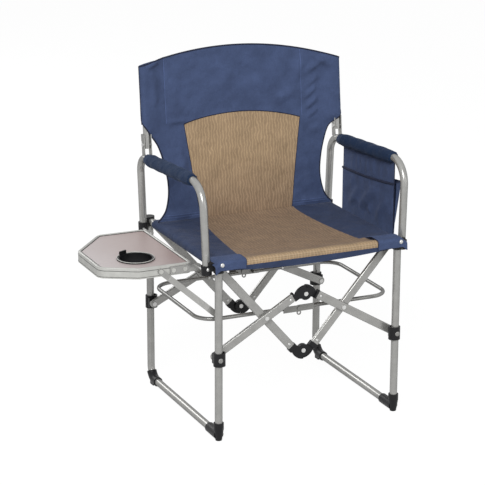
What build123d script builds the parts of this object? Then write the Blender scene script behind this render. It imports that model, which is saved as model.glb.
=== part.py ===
from build123d import *
import os
from math import acos, asin, atan2, cos, degrees, hypot, radians, sin, sqrt, tan

# Folding camp chair with a side table and an arm pocket, in millimetres and degrees.
# X runs across the seat, Y from the front edge to the back and Z up. The chair faces -Y and stands on z = 0.
# "left" is the -X side with the table, "right" the +X side with the pocket. The origin is on the floor,
# midway between the four legs.

# Fits
socket_clearance = 0.05
pin_clearance = 0.05
running_gap = 0.3
slider_clearance = 0.4
cloth_gap = 0.4

# Side frame tubes
leg_half_width = 241.0
leg_half_depth = 220.0
leg_d = 19.0
tube_wall = 1.2
leg_top_z = 428.0
floor_rail_z = 13.5
rear_bend_r = 34.0
seat_rail_z = 441.0
seat_rail_d = 16.0
seat_rail_overrun = 6.0

# Arm loops
arm_d = 19.0
arm_set_out = 23.0
arm_front_inset = 20.0
arm_rear_inset = 14.4
arm_base_z = 434.0
arm_front_rise = 207.0
arm_rear_rise = 183.0
arm_front_bend_r = 60.0
arm_rear_bend_r = 42.0
arm_front_lean = 1.6
arm_splay = 2.0
pad_front_inset = 68.0
pad_bracket_gap = 2.5
pad_end_r = 14.5
pad_crown_r = 16.5

# Feet
foot_tip_r = 8.0
foot_collar_r = 12.7
foot_taper_h = 30.0
foot_top_z = 45.0
foot_leg_seat_z = 26.0
foot_sleeve_length = 55.0
foot_rail_seat = 14.0
clip_d = 25.0
clip_tail = 14.0
clip_wrap = 62.0
clip_nub_width = 18.0
clip_nub_length = 20.0
clip_nub_h = 16.0

# Knuckles that join leg, seat rail and arm
knuckle_r = 12.7
knuckle_top_z = 452.5
knuckle_plug_h = 28.0
arm_socket_r = 13.0
arm_socket_depth = 9.0
arm_socket_floor = 14.0
web_bottom_z = 432.0

# Pins and rivets
pin_r = 3.0
head_r = 5.5
head_h = 2.0

# Scissor bars: the long bars hang from the seat rails, the short bars stand on the sliders
bar_h = 21.0
bar_t = 10.0
bar_wall = 1.2
bar_edge_r = 3.0
bar_solid_end = 20.0
bar_layer_gap = 0.6
long_elbow_z = 187.0
front_short_pivot_z = 208.5
rear_short_pivot_z = 222.0
crossing_x = 105.0
crossing_z = 288.0
folded_half_width = 79.0

# Elbows at the inner ends of the bars
long_elbow_offset = 15.0
short_elbow_offset = 11.0
elbow_r = 16.0
elbow_h = 23.5
elbow_reach = 32.0
elbow_body_gap = 4.0
elbow_plug = 18.0
elbow_lap_gap = 0.4
elbow_dome_r = 32.0
elbow_dome_sink = 10.0
elbow_dome_foot = 11.0

# Sliders on the legs
slider_r = 13.0
slider_h = 33.0
slider_ear_w = 20.0
slider_ear_h = 26.0
slider_ear_proud = 4.7

# Spreader loops
spreader_d = 10.0
spreader_offset = 65.0
spreader_overhang = 18.0
spreader_corner_r = 48.0
spreader_end_gap = 21.5
spreader_collar_r = 4.9
lug_t = 2.1
lug_gap = 0.3
lug_r = 8.0
lug_length = 42.0
lug_weld_length = 10.0
lug_weld_h = 5.0
lug_weld_sink = 1.0
lug_eye_r = 6.0
lug_eye_hole_r = 3.0
lug_eye_drop = 11.0

# Folding back
upright_d = 16.0
back_set_out = 3.0
back_hinge_inset = 37.6
back_hinge_z = 654.0
back_lean = 6.0
upright_foot = 9.0
upright_top_z = 820.0
channel_wall = 2.0
channel_half_h = 27.0
channel_front = 9.0
channel_stop_gap = 0.6

# Cloth panels
cloth_t = 3.5
sleeve_wall = 1.8
seat_front_flap_z = 430.0
seat_flap_overhang = 13.0
seat_rear_inset = 8.0
back_sleeve_bottom_z = 690.0
back_split_gap = 1.0
back_neck_inset = 27.0
back_waist_inset = 28.0
back_waist_z = 540.0
back_foot_set_out = 3.0
back_corner_z = 838.0
back_crest_z = 884.0

# Side table
table_hinge_set_out = 4.0
table_gap = 15.0
table_width = 220.0
table_front_inset = 43.0
table_rear_inset = 58.6
table_top_z = 440.0
table_rim_h = 25.0
table_rim_wall = 2.0
table_rear_chamfer_x = 92.0
table_rear_chamfer_y = 109.0
table_front_chamfer_x = 84.0
table_front_chamfer_y = 47.0
table_corner_r = 14.0
table_outer_corner_r = 26.0
table_ledge_w = 6.0
table_ledge_t = 2.0
table_panel_t = 4.0
table_panel_drop = 0.6
panel_gap = 0.1
table_hinge_z = 428.0
hinge_bar_t = 3.0
hinge_bar_h = 18.0
hinge_bar_length = 72.0
hinge_bar_rivets = (34.0, 64.0)
rivet_r = 2.0

# Strut under the table
strut_pivot_inset = 81.0
strut_stud_z = 318.0
strut_w = 15.0
strut_t = 3.0
strut_flat = 28.0
stud_base_r = 5.0

# Cup holder
cup_inset = 111.0
cup_front_inset = 85.0
cup_r = 40.0
cup_wall = 2.5
cup_flange_r = 46.5
cup_flange_t = 2.4
cup_depth = 34.0
cup_ear_w = 22.0
cup_ear_h = 9.0
cup_ear_t = 3.0
cup_ear_angle = 115.0
bail_gap = 1.5
bail_band = 5.5
bail_t = 3.0
bail_pin_r = 2.0
bail_lug_w = 10.0
bail_lift = 6.0

# Arm pocket
pocket_set_out = 7.5
pocket_front_lap = 5.0
pocket_rear_inset = 8.7
pocket_bottom_z = 424.0
pocket_mouth_z = 560.0
pocket_foot_w = 4.8
pocket_mouth_w = 24.5
pocket_wall = 2.4

# Steps between open and folded at which a moving part's drift is measured
drift_steps = 30

# Places worked out from the sizes above
leg_r = leg_d / 2
arm_r = arm_d / 2
upright_r = upright_d / 2
short_layer = slider_r + slider_ear_proud + running_gap + bar_t / 2
long_layer = short_layer + bar_t + bar_layer_gap
rail_front_y = -leg_half_depth + foot_rail_seat
seat_z = seat_rail_z + seat_rail_d / 2 + cloth_gap
flap_y = -leg_half_depth - knuckle_r - cloth_gap
arm_half_width = leg_half_width + arm_set_out
arm_front_y = -leg_half_depth + arm_front_inset
arm_rear_y = leg_half_depth - arm_rear_inset
arm_frame = Pos(arm_half_width, 0, arm_base_z) * Rot(0, arm_splay, 0)
spreader_half_length = leg_half_width + spreader_overhang
back_half_width = arm_half_width + back_set_out
back_hinge_y = arm_rear_y - back_hinge_inset
seat_rear_y = back_hinge_y - seat_rear_inset
seat_flap_half_width = leg_half_width + seat_flap_overhang
back_neck_half_width = back_half_width - back_neck_inset
back_waist_half_width = leg_half_width - back_waist_inset
back_foot_half_width = leg_half_width + back_foot_set_out
table_hinge_x = -arm_half_width - table_hinge_set_out
table_inner_x = table_hinge_x - table_gap
table_outer_x = table_inner_x - table_width
table_front_y = arm_front_y + table_front_inset
table_rear_y = arm_rear_y - table_rear_inset
strut_pivot_x = table_inner_x - strut_pivot_inset
cup_x = table_inner_x - cup_inset
cup_y = table_front_y + cup_front_inset
pad_front_y = arm_front_y + pad_front_inset
pad_rear_y = back_hinge_y - channel_front - channel_half_h * sin(radians(back_lean)) - pad_bracket_gap
back_frame = Pos(back_half_width, back_hinge_y, back_hinge_z) * Rot(-back_lean, 0, 0)
pocket_x = arm_half_width + pocket_set_out
pocket_front_y = pad_front_y - pocket_front_lap
pocket_rear_y = pad_rear_y - pocket_rear_inset


def block(x_span, y_span, z_span):
    """Box between two values on each axis."""
    spans = [sorted(span) for span in (x_span, y_span, z_span)]
    size = [high - low for low, high in spans]
    centre = [(low + high) / 2 for low, high in spans]
    return Pos(*centre) * Box(*size)


def rod(path, diameter):
    """Round bar along a path."""
    return sweep(Plane(path @ 0, z_dir=path % 0) * Circle(diameter / 2), path=path)


def tube(path, diameter, wall):
    """Round tube along a path."""
    ring = Circle(diameter / 2) - Circle(diameter / 2 - wall)
    return sweep(Plane(path @ 0, z_dir=path % 0) * ring, path=path)


def pin_y(x, z, y_from, y_to, radius):
    """Round pin along Y."""
    return rod(Line((x, y_from, z), (x, y_to, z)), 2 * radius)


def pin_x(y, z, x_from, x_to, radius):
    """Round pin along X."""
    return rod(Line((x_from, y, z), (x_to, y, z)), 2 * radius)


def rivet_y(x, z, y_head, y_tip, radius=pin_r):
    """Pin along Y with a head outside y_head."""
    outwards = -1 if y_tip > y_head else 1
    return pin_y(x, z, y_head, y_tip, radius) + pin_y(x, z, y_head, y_head + outwards * head_h, head_r)


def on_left(shape):
    """Copy of a right-hand piece on the other side of the chair."""
    return shape.mirror(Plane.YZ)


def at_rear(shape):
    """Copy of a front piece on the rear scissor."""
    return shape.mirror(Plane.XZ)


# Side frame

def front_leg():
    foot = (leg_half_width, -leg_half_depth, foot_leg_seat_z)
    return tube(Line(foot, (leg_half_width, -leg_half_depth, leg_top_z)), leg_d, tube_wall)


def rear_leg_path(front_y, top_z):
    return FilletPolyline(
        (leg_half_width, front_y, floor_rail_z),
        (leg_half_width, leg_half_depth, floor_rail_z),
        (leg_half_width, leg_half_depth, top_z),
        radius=rear_bend_r,
    )


def rear_leg_rail():
    return tube(rear_leg_path(rail_front_y, leg_top_z), leg_d, tube_wall)


def seat_rail_path():
    reach = leg_half_depth + seat_rail_overrun
    return Line((leg_half_width, -reach, seat_rail_z), (leg_half_width, reach, seat_rail_z))


def front_foot():
    taper = Pos(leg_half_width, -leg_half_depth, foot_taper_h / 2)
    collar = Pos(leg_half_width, -leg_half_depth, (foot_taper_h + foot_top_z) / 2)
    collar = collar * Cylinder(foot_collar_r, foot_top_z - foot_taper_h)
    rail_end = -leg_half_depth + foot_sleeve_length
    sleeve = pin_y(leg_half_width, floor_rail_z, -leg_half_depth, rail_end, foot_collar_r)
    body = taper * Cone(foot_tip_r, foot_collar_r, foot_taper_h) + collar + sleeve
    leg_seat = Line(
        (leg_half_width, -leg_half_depth, foot_leg_seat_z),
        (leg_half_width, -leg_half_depth, foot_top_z),
    )
    body -= rod(leg_seat, leg_d + 2 * socket_clearance)
    return body - pin_y(leg_half_width, floor_rail_z, rail_front_y, rail_end, leg_r + socket_clearance)


def clip_path():
    """Middle line of the rear foot: the end of the floor rail and the lower part of the bend."""
    bend_y = leg_half_depth - rear_bend_r
    bend_z = floor_rail_z + rear_bend_r

    def on_bend(angle):
        return (
            leg_half_width,
            bend_y + rear_bend_r * sin(radians(angle)),
            bend_z - rear_bend_r * cos(radians(angle)),
        )

    rail = Line((leg_half_width, bend_y - clip_tail, floor_rail_z), on_bend(0))
    return Wire([rail, ThreePointArc(on_bend(0), on_bend(clip_wrap / 2), on_bend(clip_wrap))])


def rear_foot():
    nub_rear = leg_half_depth - rear_bend_r + clip_nub_length
    nub = block(
        (leg_half_width - clip_nub_width / 2, leg_half_width + clip_nub_width / 2),
        (nub_rear - clip_nub_length, nub_rear),
        (0, clip_nub_h),
    )
    bore = rod(rear_leg_path(rail_front_y, leg_top_z), leg_d + 2 * socket_clearance)
    return rod(clip_path(), clip_d) + nub - bore


def arm_post(y, z_from, z_to, diameter, lean):
    """Straight round bar on a post's axis, in the arm's own plane."""
    foot = (0, y + z_from * tan(radians(lean)), z_from)
    return rod(Line(foot, (0, y + z_to * tan(radians(lean)), z_to)), diameter)


def arm_top_front_y():
    return arm_front_y + arm_front_rise * tan(radians(arm_front_lean))


def arm_rise(y):
    """Height of the arm rest's axis above the arm's base, which climbs towards the front."""
    share = (arm_rear_y - y) / (arm_rear_y - arm_top_front_y())
    return arm_rear_rise + share * (arm_front_rise - arm_rear_rise)


def arm_path():
    return FilletPolyline(
        (0, arm_front_y, 0),
        (0, arm_top_front_y(), arm_front_rise),
        (0, arm_rear_y, arm_rear_rise),
        (0, arm_rear_y, 0),
        radius=[arm_front_bend_r, arm_rear_bend_r],
    )


def back_channel():
    """U-shaped bracket round the foot of a back upright, open to the front, in the upright's own frame.

    Its rear wall starts above the path of the upright's foot, which swings back as the upright folds.
    """
    inside = upright_r + running_gap
    outside = inside + channel_wall
    stop = upright_r + channel_stop_gap
    foot_sweep = hypot(upright_foot, upright_r) + running_gap
    stop_start = sqrt(max(foot_sweep**2 - stop**2, 0))
    height = (-channel_half_h, channel_half_h)
    cheeks = block((-outside, -inside), (-channel_front, stop), height)
    cheeks += block((inside, outside), (-channel_front, stop), height)
    cheeks += block((-outside, outside), (stop, stop + channel_wall), (stop_start, channel_half_h))
    return cheeks - pin_x(0, 0, -outside, outside, pin_r + pin_clearance)


def arm_loop():
    loop = arm_frame * tube(arm_path(), arm_d, tube_wall)
    bore = arm_frame * rod(arm_path(), arm_d)
    return loop + (back_frame * back_channel() - bore)


def arm_pad():
    """Stuffed sleeve on the arm rest, fuller in its middle than at its ends."""
    middle = Vector(0, (pad_front_y + pad_rear_y) / 2, arm_rise((pad_front_y + pad_rear_y) / 2))
    run = Vector(0, pad_rear_y - pad_front_y, arm_rise(pad_rear_y) - arm_rise(pad_front_y))
    half = run.length / 2
    bore = arm_r + socket_clearance
    ends = Polyline((pad_end_r, half), (bore, half), (bore, -half), (pad_end_r, -half))
    crown = ThreePointArc((pad_end_r, -half), (pad_crown_r, 0), (pad_end_r, half))
    section = Plane(middle, x_dir=(1, 0, 0), z_dir=run.cross(Vector(-1, 0, 0))) * make_face([ends, crown])
    return arm_frame * (revolve(section, Axis(middle, run)) - rod(arm_path(), arm_d + 2 * socket_clearance))


def knuckle(end):
    """Plastic corner block plugged into the top of a front (-1) or rear (+1) leg."""
    leg_y = end * leg_half_depth
    post_y = arm_front_y if end < 0 else arm_rear_y
    lean = arm_front_lean if end < 0 else 0
    head = Pos(leg_half_width, leg_y, (leg_top_z + knuckle_top_z) / 2)
    head = head * Cylinder(knuckle_r, knuckle_top_z - leg_top_z)
    plug_path = Line((leg_half_width, leg_y, leg_top_z - knuckle_plug_h), (leg_half_width, leg_y, leg_top_z))
    body = head + rod(plug_path, leg_d - 2 * tube_wall - 2 * socket_clearance)
    body += block((leg_half_width, arm_half_width), (leg_y, post_y), (web_bottom_z, knuckle_top_z))
    body += arm_frame * arm_post(post_y, -arm_socket_floor, arm_socket_depth, 2 * arm_socket_r, lean)
    body -= rod(seat_rail_path(), seat_rail_d + 2 * socket_clearance)
    bore_top = knuckle_top_z - arm_base_z + arm_socket_r
    return body - arm_frame * arm_post(post_y, 0, bore_top, arm_d + 2 * socket_clearance, lean)


def table_hinge_pins(clearance):
    """The two pins that the table swings on, from the left knuckles to the hinge bars."""
    radius = pin_r + clearance
    front = arm_front_y + arm_r
    rear = arm_rear_y - arm_r
    front_bar = table_front_y - hinge_bar_t - running_gap
    rear_bar = table_rear_y + hinge_bar_t + running_gap
    pins = [
        pin_y(table_hinge_x, table_hinge_z, front, front_bar + hinge_bar_t, radius),
        pin_y(table_hinge_x, table_hinge_z, rear, rear_bar - hinge_bar_t, radius),
    ]
    return Part() + pins


def back_hinge_pin():
    """Pin with two heads through the cheeks of a back bracket."""
    outside = upright_r + running_gap + channel_wall
    hinge = pin_x(0, 0, -outside - head_h, outside + head_h, pin_r)
    for side in (-1, 1):
        hinge += pin_x(0, 0, side * outside, side * (outside + head_h), head_r)
    return back_frame * hinge


def strut_stud():
    """Stud on the back of the left front leg that the strut hooks over."""
    leg_back = -leg_half_depth + leg_r
    hook_y = leg_back + 2 * head_h
    base = pin_y(-leg_half_width, strut_stud_z, -leg_half_depth, hook_y, stud_base_r)
    leg = Line(
        (-leg_half_width, -leg_half_depth, strut_stud_z - head_r * 2),
        (-leg_half_width, -leg_half_depth, strut_stud_z + head_r * 2),
    )
    base -= rod(leg, leg_d + 2 * socket_clearance)
    tip = hook_y + strut_t + 2 * running_gap
    shank = pin_y(-leg_half_width, strut_stud_z, hook_y, tip, pin_r)
    return base + shank + pin_y(-leg_half_width, strut_stud_z, tip, tip + head_h, head_r)


# Scissor bars, modelled for the right half of the front scissor

def long_bar_turn():
    """Angle through which a long bar turns as the chair folds, in radians."""
    length = hypot(leg_half_width, seat_rail_z - long_elbow_z)
    return acos(folded_half_width / length) - acos(leg_half_width / length)


def short_bar_turn(pivot_z):
    """Angle through which the short bar on a slider at pivot_z turns as the chair folds, in radians."""
    inset = leg_half_width - crossing_x
    turn = long_bar_turn()
    folded_inset = inset * cos(turn) - (seat_rail_z - crossing_z) * sin(turn)
    reach = hypot(inset, crossing_z - pivot_z)
    return acos(folded_inset / reach) - acos(inset / reach)


def short_elbow_height(pivot_z):
    """Height of the top elbow that keeps it on the middle plane both open and folded."""
    turn = short_bar_turn(pivot_z)
    slope = (cos(turn) - folded_half_width / leg_half_width) / sin(turn)
    return pivot_z + slope * leg_half_width


def turned_x(x, z, angle):
    """Place across X of an offset x, z after a turn that moves its upper end inwards."""
    return x * cos(angle) - z * sin(angle)


def short_bar_drift(x, z, pivot_z):
    """Furthest that a point of the short bar on a slider at pivot_z strays from its line as the chair folds.

    The short bar turns at a fixed ratio to the long bar, so its slider keeps to the leg and its top elbow to
    the middle plane exactly when the chair is open and when it is folded, and both drift a little between.
    """
    turn = long_bar_turn()
    ratio = short_bar_turn(pivot_z) / turn
    strays = []
    for step in range(drift_steps + 1):
        angle = turn * step / drift_steps
        crossing = turned_x(crossing_x, crossing_z - long_elbow_z, angle)
        reach = turned_x(x - crossing_x, z - crossing_z, -ratio * angle)
        leg = turned_x(leg_half_width, seat_rail_z - long_elbow_z, angle)
        strays.append(abs(crossing + reach - leg * x / leg_half_width))
    return max(strays)


def long_bar():
    """Outer pivot height, elbow height, layer, elbow offset and pivot hole of a long bar."""
    return seat_rail_z, long_elbow_z, long_layer, long_elbow_offset, seat_rail_d / 2


def short_bar(pivot_z):
    """The same sizes for the short bar on a slider at pivot_z. It lies above its elbow, so it offsets up."""
    return pivot_z, short_elbow_height(pivot_z), short_layer, -short_elbow_offset, pin_r


def bar_frame(pivot_z, elbow_z, layer, elbow_offset):
    """Frame with x along a bar from its outer pivot and z towards the front, and the bar's own length."""
    reach = hypot(leg_half_width, elbow_z - pivot_z)
    turn = asin(elbow_offset / reach)
    angle = atan2(elbow_z - pivot_z, -leg_half_width) + turn
    frame = Plane(
        origin=(leg_half_width, -leg_half_depth + layer, pivot_z),
        x_dir=(cos(angle), 0, sin(angle)),
        z_dir=(0, -1, 0),
    )
    return frame, reach * cos(turn)


def through_bar(x, z, layer, radius):
    """Hole through the bars of one layer."""
    middle = -leg_half_depth + layer
    return pin_y(x, z, middle - bar_t, middle + bar_t, radius + pin_clearance)


def bar_tube(pivot_z, elbow_z, layer, elbow_offset, pivot_r):
    """Flat-sided tube, closed and rounded at its outer pivot, open where the elbow plugs in."""
    frame, reach = bar_frame(pivot_z, elbow_z, layer, elbow_offset)
    length = reach - elbow_reach
    outline = Circle(bar_h / 2) + Pos(length / 2, 0) * Rectangle(length, bar_h)
    body = extrude(outline, bar_t / 2, both=True)
    body = fillet(body.edges().filter_by(Axis.X), bar_edge_r)
    hollow = Plane.YZ.offset(bar_solid_end) * RectangleRounded(
        bar_h - 2 * bar_wall, bar_t - 2 * bar_wall, bar_edge_r - bar_wall
    )
    body = frame * (body - extrude(hollow, length - bar_solid_end))
    body -= through_bar(leg_half_width, pivot_z, layer, pivot_r)
    return body - through_bar(crossing_x, crossing_z, layer, pin_r)


def elbow_dome(elbow_z, layer, upwards, lap):
    """Right half of the round cover outside an elbow, above (+1) or below (-1) it, in one tongue's layer."""
    middle = -leg_half_depth + layer
    faces = (middle - lap * elbow_lap_gap / 2, middle - lap * bar_t / 2)
    dome = pin_y(0, elbow_z - upwards * elbow_dome_sink, *faces, elbow_dome_r)
    foot = elbow_z - upwards * elbow_dome_foot
    return dome & block((0, elbow_dome_r), faces, (foot, foot + upwards * 2 * elbow_dome_r))


def elbow_half(pivot_z, elbow_z, layer, elbow_offset, lap, drift):
    """Plastic end of a bar: a plug in the tube, a body and a lapped tongue, in front (+1) or behind (-1).

    The body keeps clear of the other half's tongue, also where that drifts past the middle plane.
    """
    frame, reach = bar_frame(pivot_z, elbow_z, layer, elbow_offset)
    start = reach - elbow_reach
    plug = Plane.YZ.offset(start - elbow_plug) * RectangleRounded(
        bar_h - 2 * bar_wall - 2 * socket_clearance,
        bar_t - 2 * bar_wall - 2 * socket_clearance,
        bar_edge_r - bar_wall,
    )
    body = extrude(plug, elbow_plug)
    body_end = reach - elbow_r - elbow_body_gap - 2 * drift
    body += block((start, body_end), (-elbow_h / 2, elbow_h / 2), (-bar_t / 2, bar_t / 2))
    side = 1 if elbow_offset > 0 else -1
    inner_edge = -side * elbow_h / 2
    outer_edge = side * elbow_r - elbow_offset
    bridge = Rectangle(elbow_reach, abs(outer_edge - inner_edge))
    tongue = Pos(reach, -elbow_offset) * Circle(elbow_r)
    tongue += Pos((start + reach) / 2, (inner_edge + outer_edge) / 2) * bridge
    half = (bar_t - elbow_lap_gap) / 2
    body += Pos(0, 0, lap * (half + elbow_lap_gap) / 2) * extrude(tongue, half / 2, both=True)
    beyond_bar = block((start, reach + elbow_dome_r), (-elbow_reach, elbow_reach), (-bar_t, bar_t))
    cover = elbow_dome(elbow_z, layer, -side, lap) & frame * beyond_bar
    return frame * body + cover - through_bar(0, elbow_z, layer, pin_r)


def elbow_rivet(elbow_z, layer):
    """Rivet through both halves of an elbow, with a head on each side."""
    front = -leg_half_depth + layer - bar_t / 2
    rear = front + bar_t
    return rivet_y(0, elbow_z, front, rear) + pin_y(0, elbow_z, rear, rear + head_h, head_r)


def tongue_rivet(elbow_z, layer, lap):
    """Half of a top elbow's rivet, in the tongue in front (+1) or behind (-1), with its head outside."""
    middle = -leg_half_depth + layer
    return rivet_y(0, elbow_z, middle - lap * bar_t / 2, middle - lap * elbow_lap_gap / 2)


def short_bar_pins(pivot_z):
    """Crossing pin, which also carries the spreader, and the pin at the slider."""
    front = -leg_half_depth + short_layer - bar_t / 2
    long_back = -leg_half_depth + long_layer + bar_t / 2
    loop_front = -leg_half_depth + spreader_offset - spreader_d / 2
    loop_back = loop_front + spreader_d
    crossing = rivet_y(crossing_x, crossing_z, front, loop_back + head_h)
    crossing += pin_y(
        crossing_x, crossing_z, long_back + running_gap, loop_front - running_gap, spreader_collar_r
    )
    ear = -leg_half_depth + leg_r + slider_clearance + running_gap
    return Part() + [crossing, rivet_y(leg_half_width, pivot_z, front + bar_t, ear)]


def slider_slot(pivot_z, radius):
    """Upright block round a leg, longer towards the middle by the slider's drift."""
    drift = short_bar_drift(leg_half_width, pivot_z, pivot_z)
    place = Pos(leg_half_width - drift / 2, -leg_half_depth, pivot_z)
    return place * extrude(SlotCenterToCenter(drift, 2 * radius), slider_h / 2, both=True)


def slider(pivot_z):
    """Sleeve that runs on a leg with room for its drift, with an ear for the short bar's pin."""
    ear_face = -leg_half_depth + short_layer - bar_t / 2 - running_gap
    body = slider_slot(pivot_z, slider_r)
    body += block(
        (leg_half_width - slider_ear_w / 2, leg_half_width + slider_ear_w / 2),
        (-leg_half_depth, ear_face),
        (pivot_z - slider_ear_h / 2, pivot_z + slider_ear_h / 2),
    )
    body -= slider_slot(pivot_z, leg_r + slider_clearance)
    return body - pin_y(leg_half_width, pivot_z, -leg_half_depth, ear_face, pin_r + pin_clearance)


# Spreader

def lug(outside):
    """Hinge plate welded to the front of a spreader's inner end, on the right half.

    The plates of the two halves lie in front of the tubes, one outside the other, so they swing past each
    other and past the tubes. The outside plate has a ring eye and the rivet's head.
    """
    axis_y = -leg_half_depth + spreader_offset
    near = axis_y - spreader_d / 2 - lug_gap
    plate = Circle(lug_r) + Pos(lug_length / 2, 0) * Rectangle(lug_length, 2 * lug_r)
    if outside:
        near -= lug_t + lug_gap
        plate += Pos(0, -lug_eye_drop) * (Circle(lug_eye_r) - Circle(lug_eye_hole_r))
    plane = Plane((0, near, crossing_z), x_dir=(1, 0, 0), z_dir=(0, -1, 0))
    body = plane * extrude(plate, lug_t)
    if outside:
        body += pin_y(0, crossing_z, near - lug_t, near - lug_t - head_h, head_r)
    return body + block(
        (lug_length - lug_weld_length, lug_length),
        (near, axis_y - spreader_d / 2 + lug_weld_sink),
        (crossing_z - lug_weld_h / 2, crossing_z + lug_weld_h / 2),
    )


def spreader(outside):
    """Half of the spreader: a bent tube with a hinge plate at each end, on the right half."""
    run_y = leg_half_depth - spreader_offset
    path = FilletPolyline(
        (spreader_end_gap, -run_y, crossing_z),
        (spreader_half_length, -run_y, crossing_z),
        (spreader_half_length, run_y, crossing_z),
        (spreader_end_gap, run_y, crossing_z),
        radius=spreader_corner_r,
    )
    tongue = lug(outside)
    loop = tube(path, spreader_d, tube_wall) + [tongue, at_rear(tongue)]
    return loop - pin_y(crossing_x, crossing_z, -leg_half_depth, leg_half_depth, pin_r + pin_clearance)


# Back

def upright_length():
    return (upright_top_z - back_hinge_z) / cos(radians(back_lean))


def back_upright():
    path = Line((0, 0, -upright_foot), (0, 0, upright_length()))
    body = tube(path, upright_d, tube_wall)
    body -= pin_x(0, 0, -upright_d, upright_d, pin_r + pin_clearance)
    return back_frame * body


def back_plane(z_from):
    """Plane of the back cloth: x across, y up along the lean, from a height on the hinge line."""
    return Plane(
        (0, back_hinge_y + (z_from - back_hinge_z) * tan(radians(back_lean)), z_from),
        x_dir=(1, 0, 0),
        z_dir=(0, -cos(radians(back_lean)), sin(radians(back_lean))),
    )


def along_lean(z):
    """Distance up the leaning back from the hinge line to a height."""
    return (z - back_hinge_z) / cos(radians(back_lean))


def back_upper_cloth():
    sleeve_r = upright_r + cloth_gap + sleeve_wall
    edge = back_half_width + sleeve_r - cloth_t / 2
    hem = along_lean(back_sleeve_bottom_z)
    corner = along_lean(back_corner_z)
    crest = along_lean(back_crest_z)
    sides = Polyline(
        (edge, corner), (edge, hem), (back_neck_half_width, hem), (back_neck_half_width, back_split_gap),
        (-back_neck_half_width, back_split_gap), (-back_neck_half_width, hem), (-edge, hem), (-edge, corner),
    )
    top = ThreePointArc((-edge, corner), (0, crest), (edge, corner))
    panel = back_plane(back_hinge_z) * extrude(make_face([sides, top]), cloth_t / 2, both=True)
    sleeve_path = Line((0, 0, hem), (0, 0, corner))
    sleeve = back_frame * rod(sleeve_path, 2 * sleeve_r)
    bore_path = Line((0, 0, 0), (0, 0, upright_length() + cloth_gap))
    bore = back_frame * rod(bore_path, upright_d + 2 * cloth_gap)
    return panel + [sleeve, on_left(sleeve)] - [bore, on_left(bore)]


def back_lower_cloth():
    foot = along_lean(seat_z + cloth_t + cloth_gap)
    waist = along_lean(back_waist_z)
    top_edge = -back_split_gap
    right = ThreePointArc(
        (back_neck_half_width, top_edge), (back_waist_half_width, waist), (back_foot_half_width, foot)
    )
    left = ThreePointArc(
        (-back_foot_half_width, foot), (-back_waist_half_width, waist), (-back_neck_half_width, top_edge)
    )
    bottom = Line((back_foot_half_width, foot), (-back_foot_half_width, foot))
    top = Line((-back_neck_half_width, top_edge), (back_neck_half_width, top_edge))
    return back_plane(back_hinge_z) * extrude(make_face([right, bottom, left, top]), cloth_t / 2, both=True)


def seat_cloth():
    """Panel with a sleeve round each seat rail, a narrow nose between the front knuckles and a front flap."""
    nose = leg_half_width - knuckle_r - 2 * cloth_gap
    sleeve_front = -leg_half_depth + long_layer + bar_t / 2 + cloth_gap
    top = seat_z + cloth_t
    panel = block((-leg_half_width, leg_half_width), (sleeve_front, seat_rear_y), (seat_z, top))
    panel += block((-nose, nose), (flap_y, sleeve_front), (seat_z, top))
    panel += block(
        (-seat_flap_half_width, seat_flap_half_width), (flap_y - cloth_t, flap_y), (seat_front_flap_z, top)
    )
    sleeve_r = seat_rail_d / 2 + cloth_gap + sleeve_wall
    sleeve = pin_y(leg_half_width, seat_rail_z, sleeve_front, seat_rear_y, sleeve_r)
    bore = rod(seat_rail_path(), seat_rail_d + 2 * cloth_gap)
    return panel + [sleeve, on_left(sleeve)] - [bore, on_left(bore)]


# Side table

def table_outline():
    outline = Polygon(
        (table_inner_x, table_rear_y),
        (table_outer_x + table_rear_chamfer_x, table_rear_y),
        (table_outer_x, table_rear_y - table_rear_chamfer_y),
        (table_outer_x, table_front_y + table_front_chamfer_y),
        (table_outer_x + table_front_chamfer_x, table_front_y),
        (table_inner_x, table_front_y),
        align=None,
    )
    outline = fillet(outline.vertices().sort_by(Axis.X)[:-2], table_outer_corner_r)
    return fillet(outline.vertices().sort_by(Axis.X)[-2:], table_corner_r)


def table_rim():
    outline = table_outline()
    inside = offset(outline, -table_rim_wall)
    ledge = inside - offset(outline, -table_rim_wall - table_ledge_w)
    ledge_z = table_top_z - table_panel_drop - table_panel_t - panel_gap - table_ledge_t
    wall = Pos(0, 0, table_top_z - table_rim_h) * extrude(outline - inside, table_rim_h)
    rim = wall + Pos(0, 0, ledge_z) * extrude(ledge, table_ledge_t)
    return rim - rim_rivets(pin_clearance)


def table_panel():
    panel = offset(table_outline(), -table_rim_wall - panel_gap)
    panel -= Pos(cup_x, cup_y) * Circle(cup_r + cup_wall + panel_gap)
    return Pos(0, 0, table_top_z - table_panel_drop - table_panel_t) * extrude(panel, table_panel_t)


def hinge_bar(y_from, y_to):
    """Flat bar on an end face of the table, with its eye on the hinge pin."""
    length = hinge_bar_length
    plate = block(
        (table_hinge_x - length, table_hinge_x),
        (y_from, y_to),
        (table_hinge_z - hinge_bar_h / 2, table_hinge_z + hinge_bar_h / 2),
    )
    plate += pin_y(table_hinge_x, table_hinge_z, y_from, y_to, hinge_bar_h / 2)
    return plate - pin_y(table_hinge_x, table_hinge_z, y_from, y_to, pin_r + pin_clearance)


def hinge_bars():
    front = hinge_bar(table_front_y - running_gap - hinge_bar_t, table_front_y - running_gap)
    rear = hinge_bar(table_rear_y + running_gap, table_rear_y + running_gap + hinge_bar_t)
    return Part() + [front, rear] - rim_rivets(pin_clearance)


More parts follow.
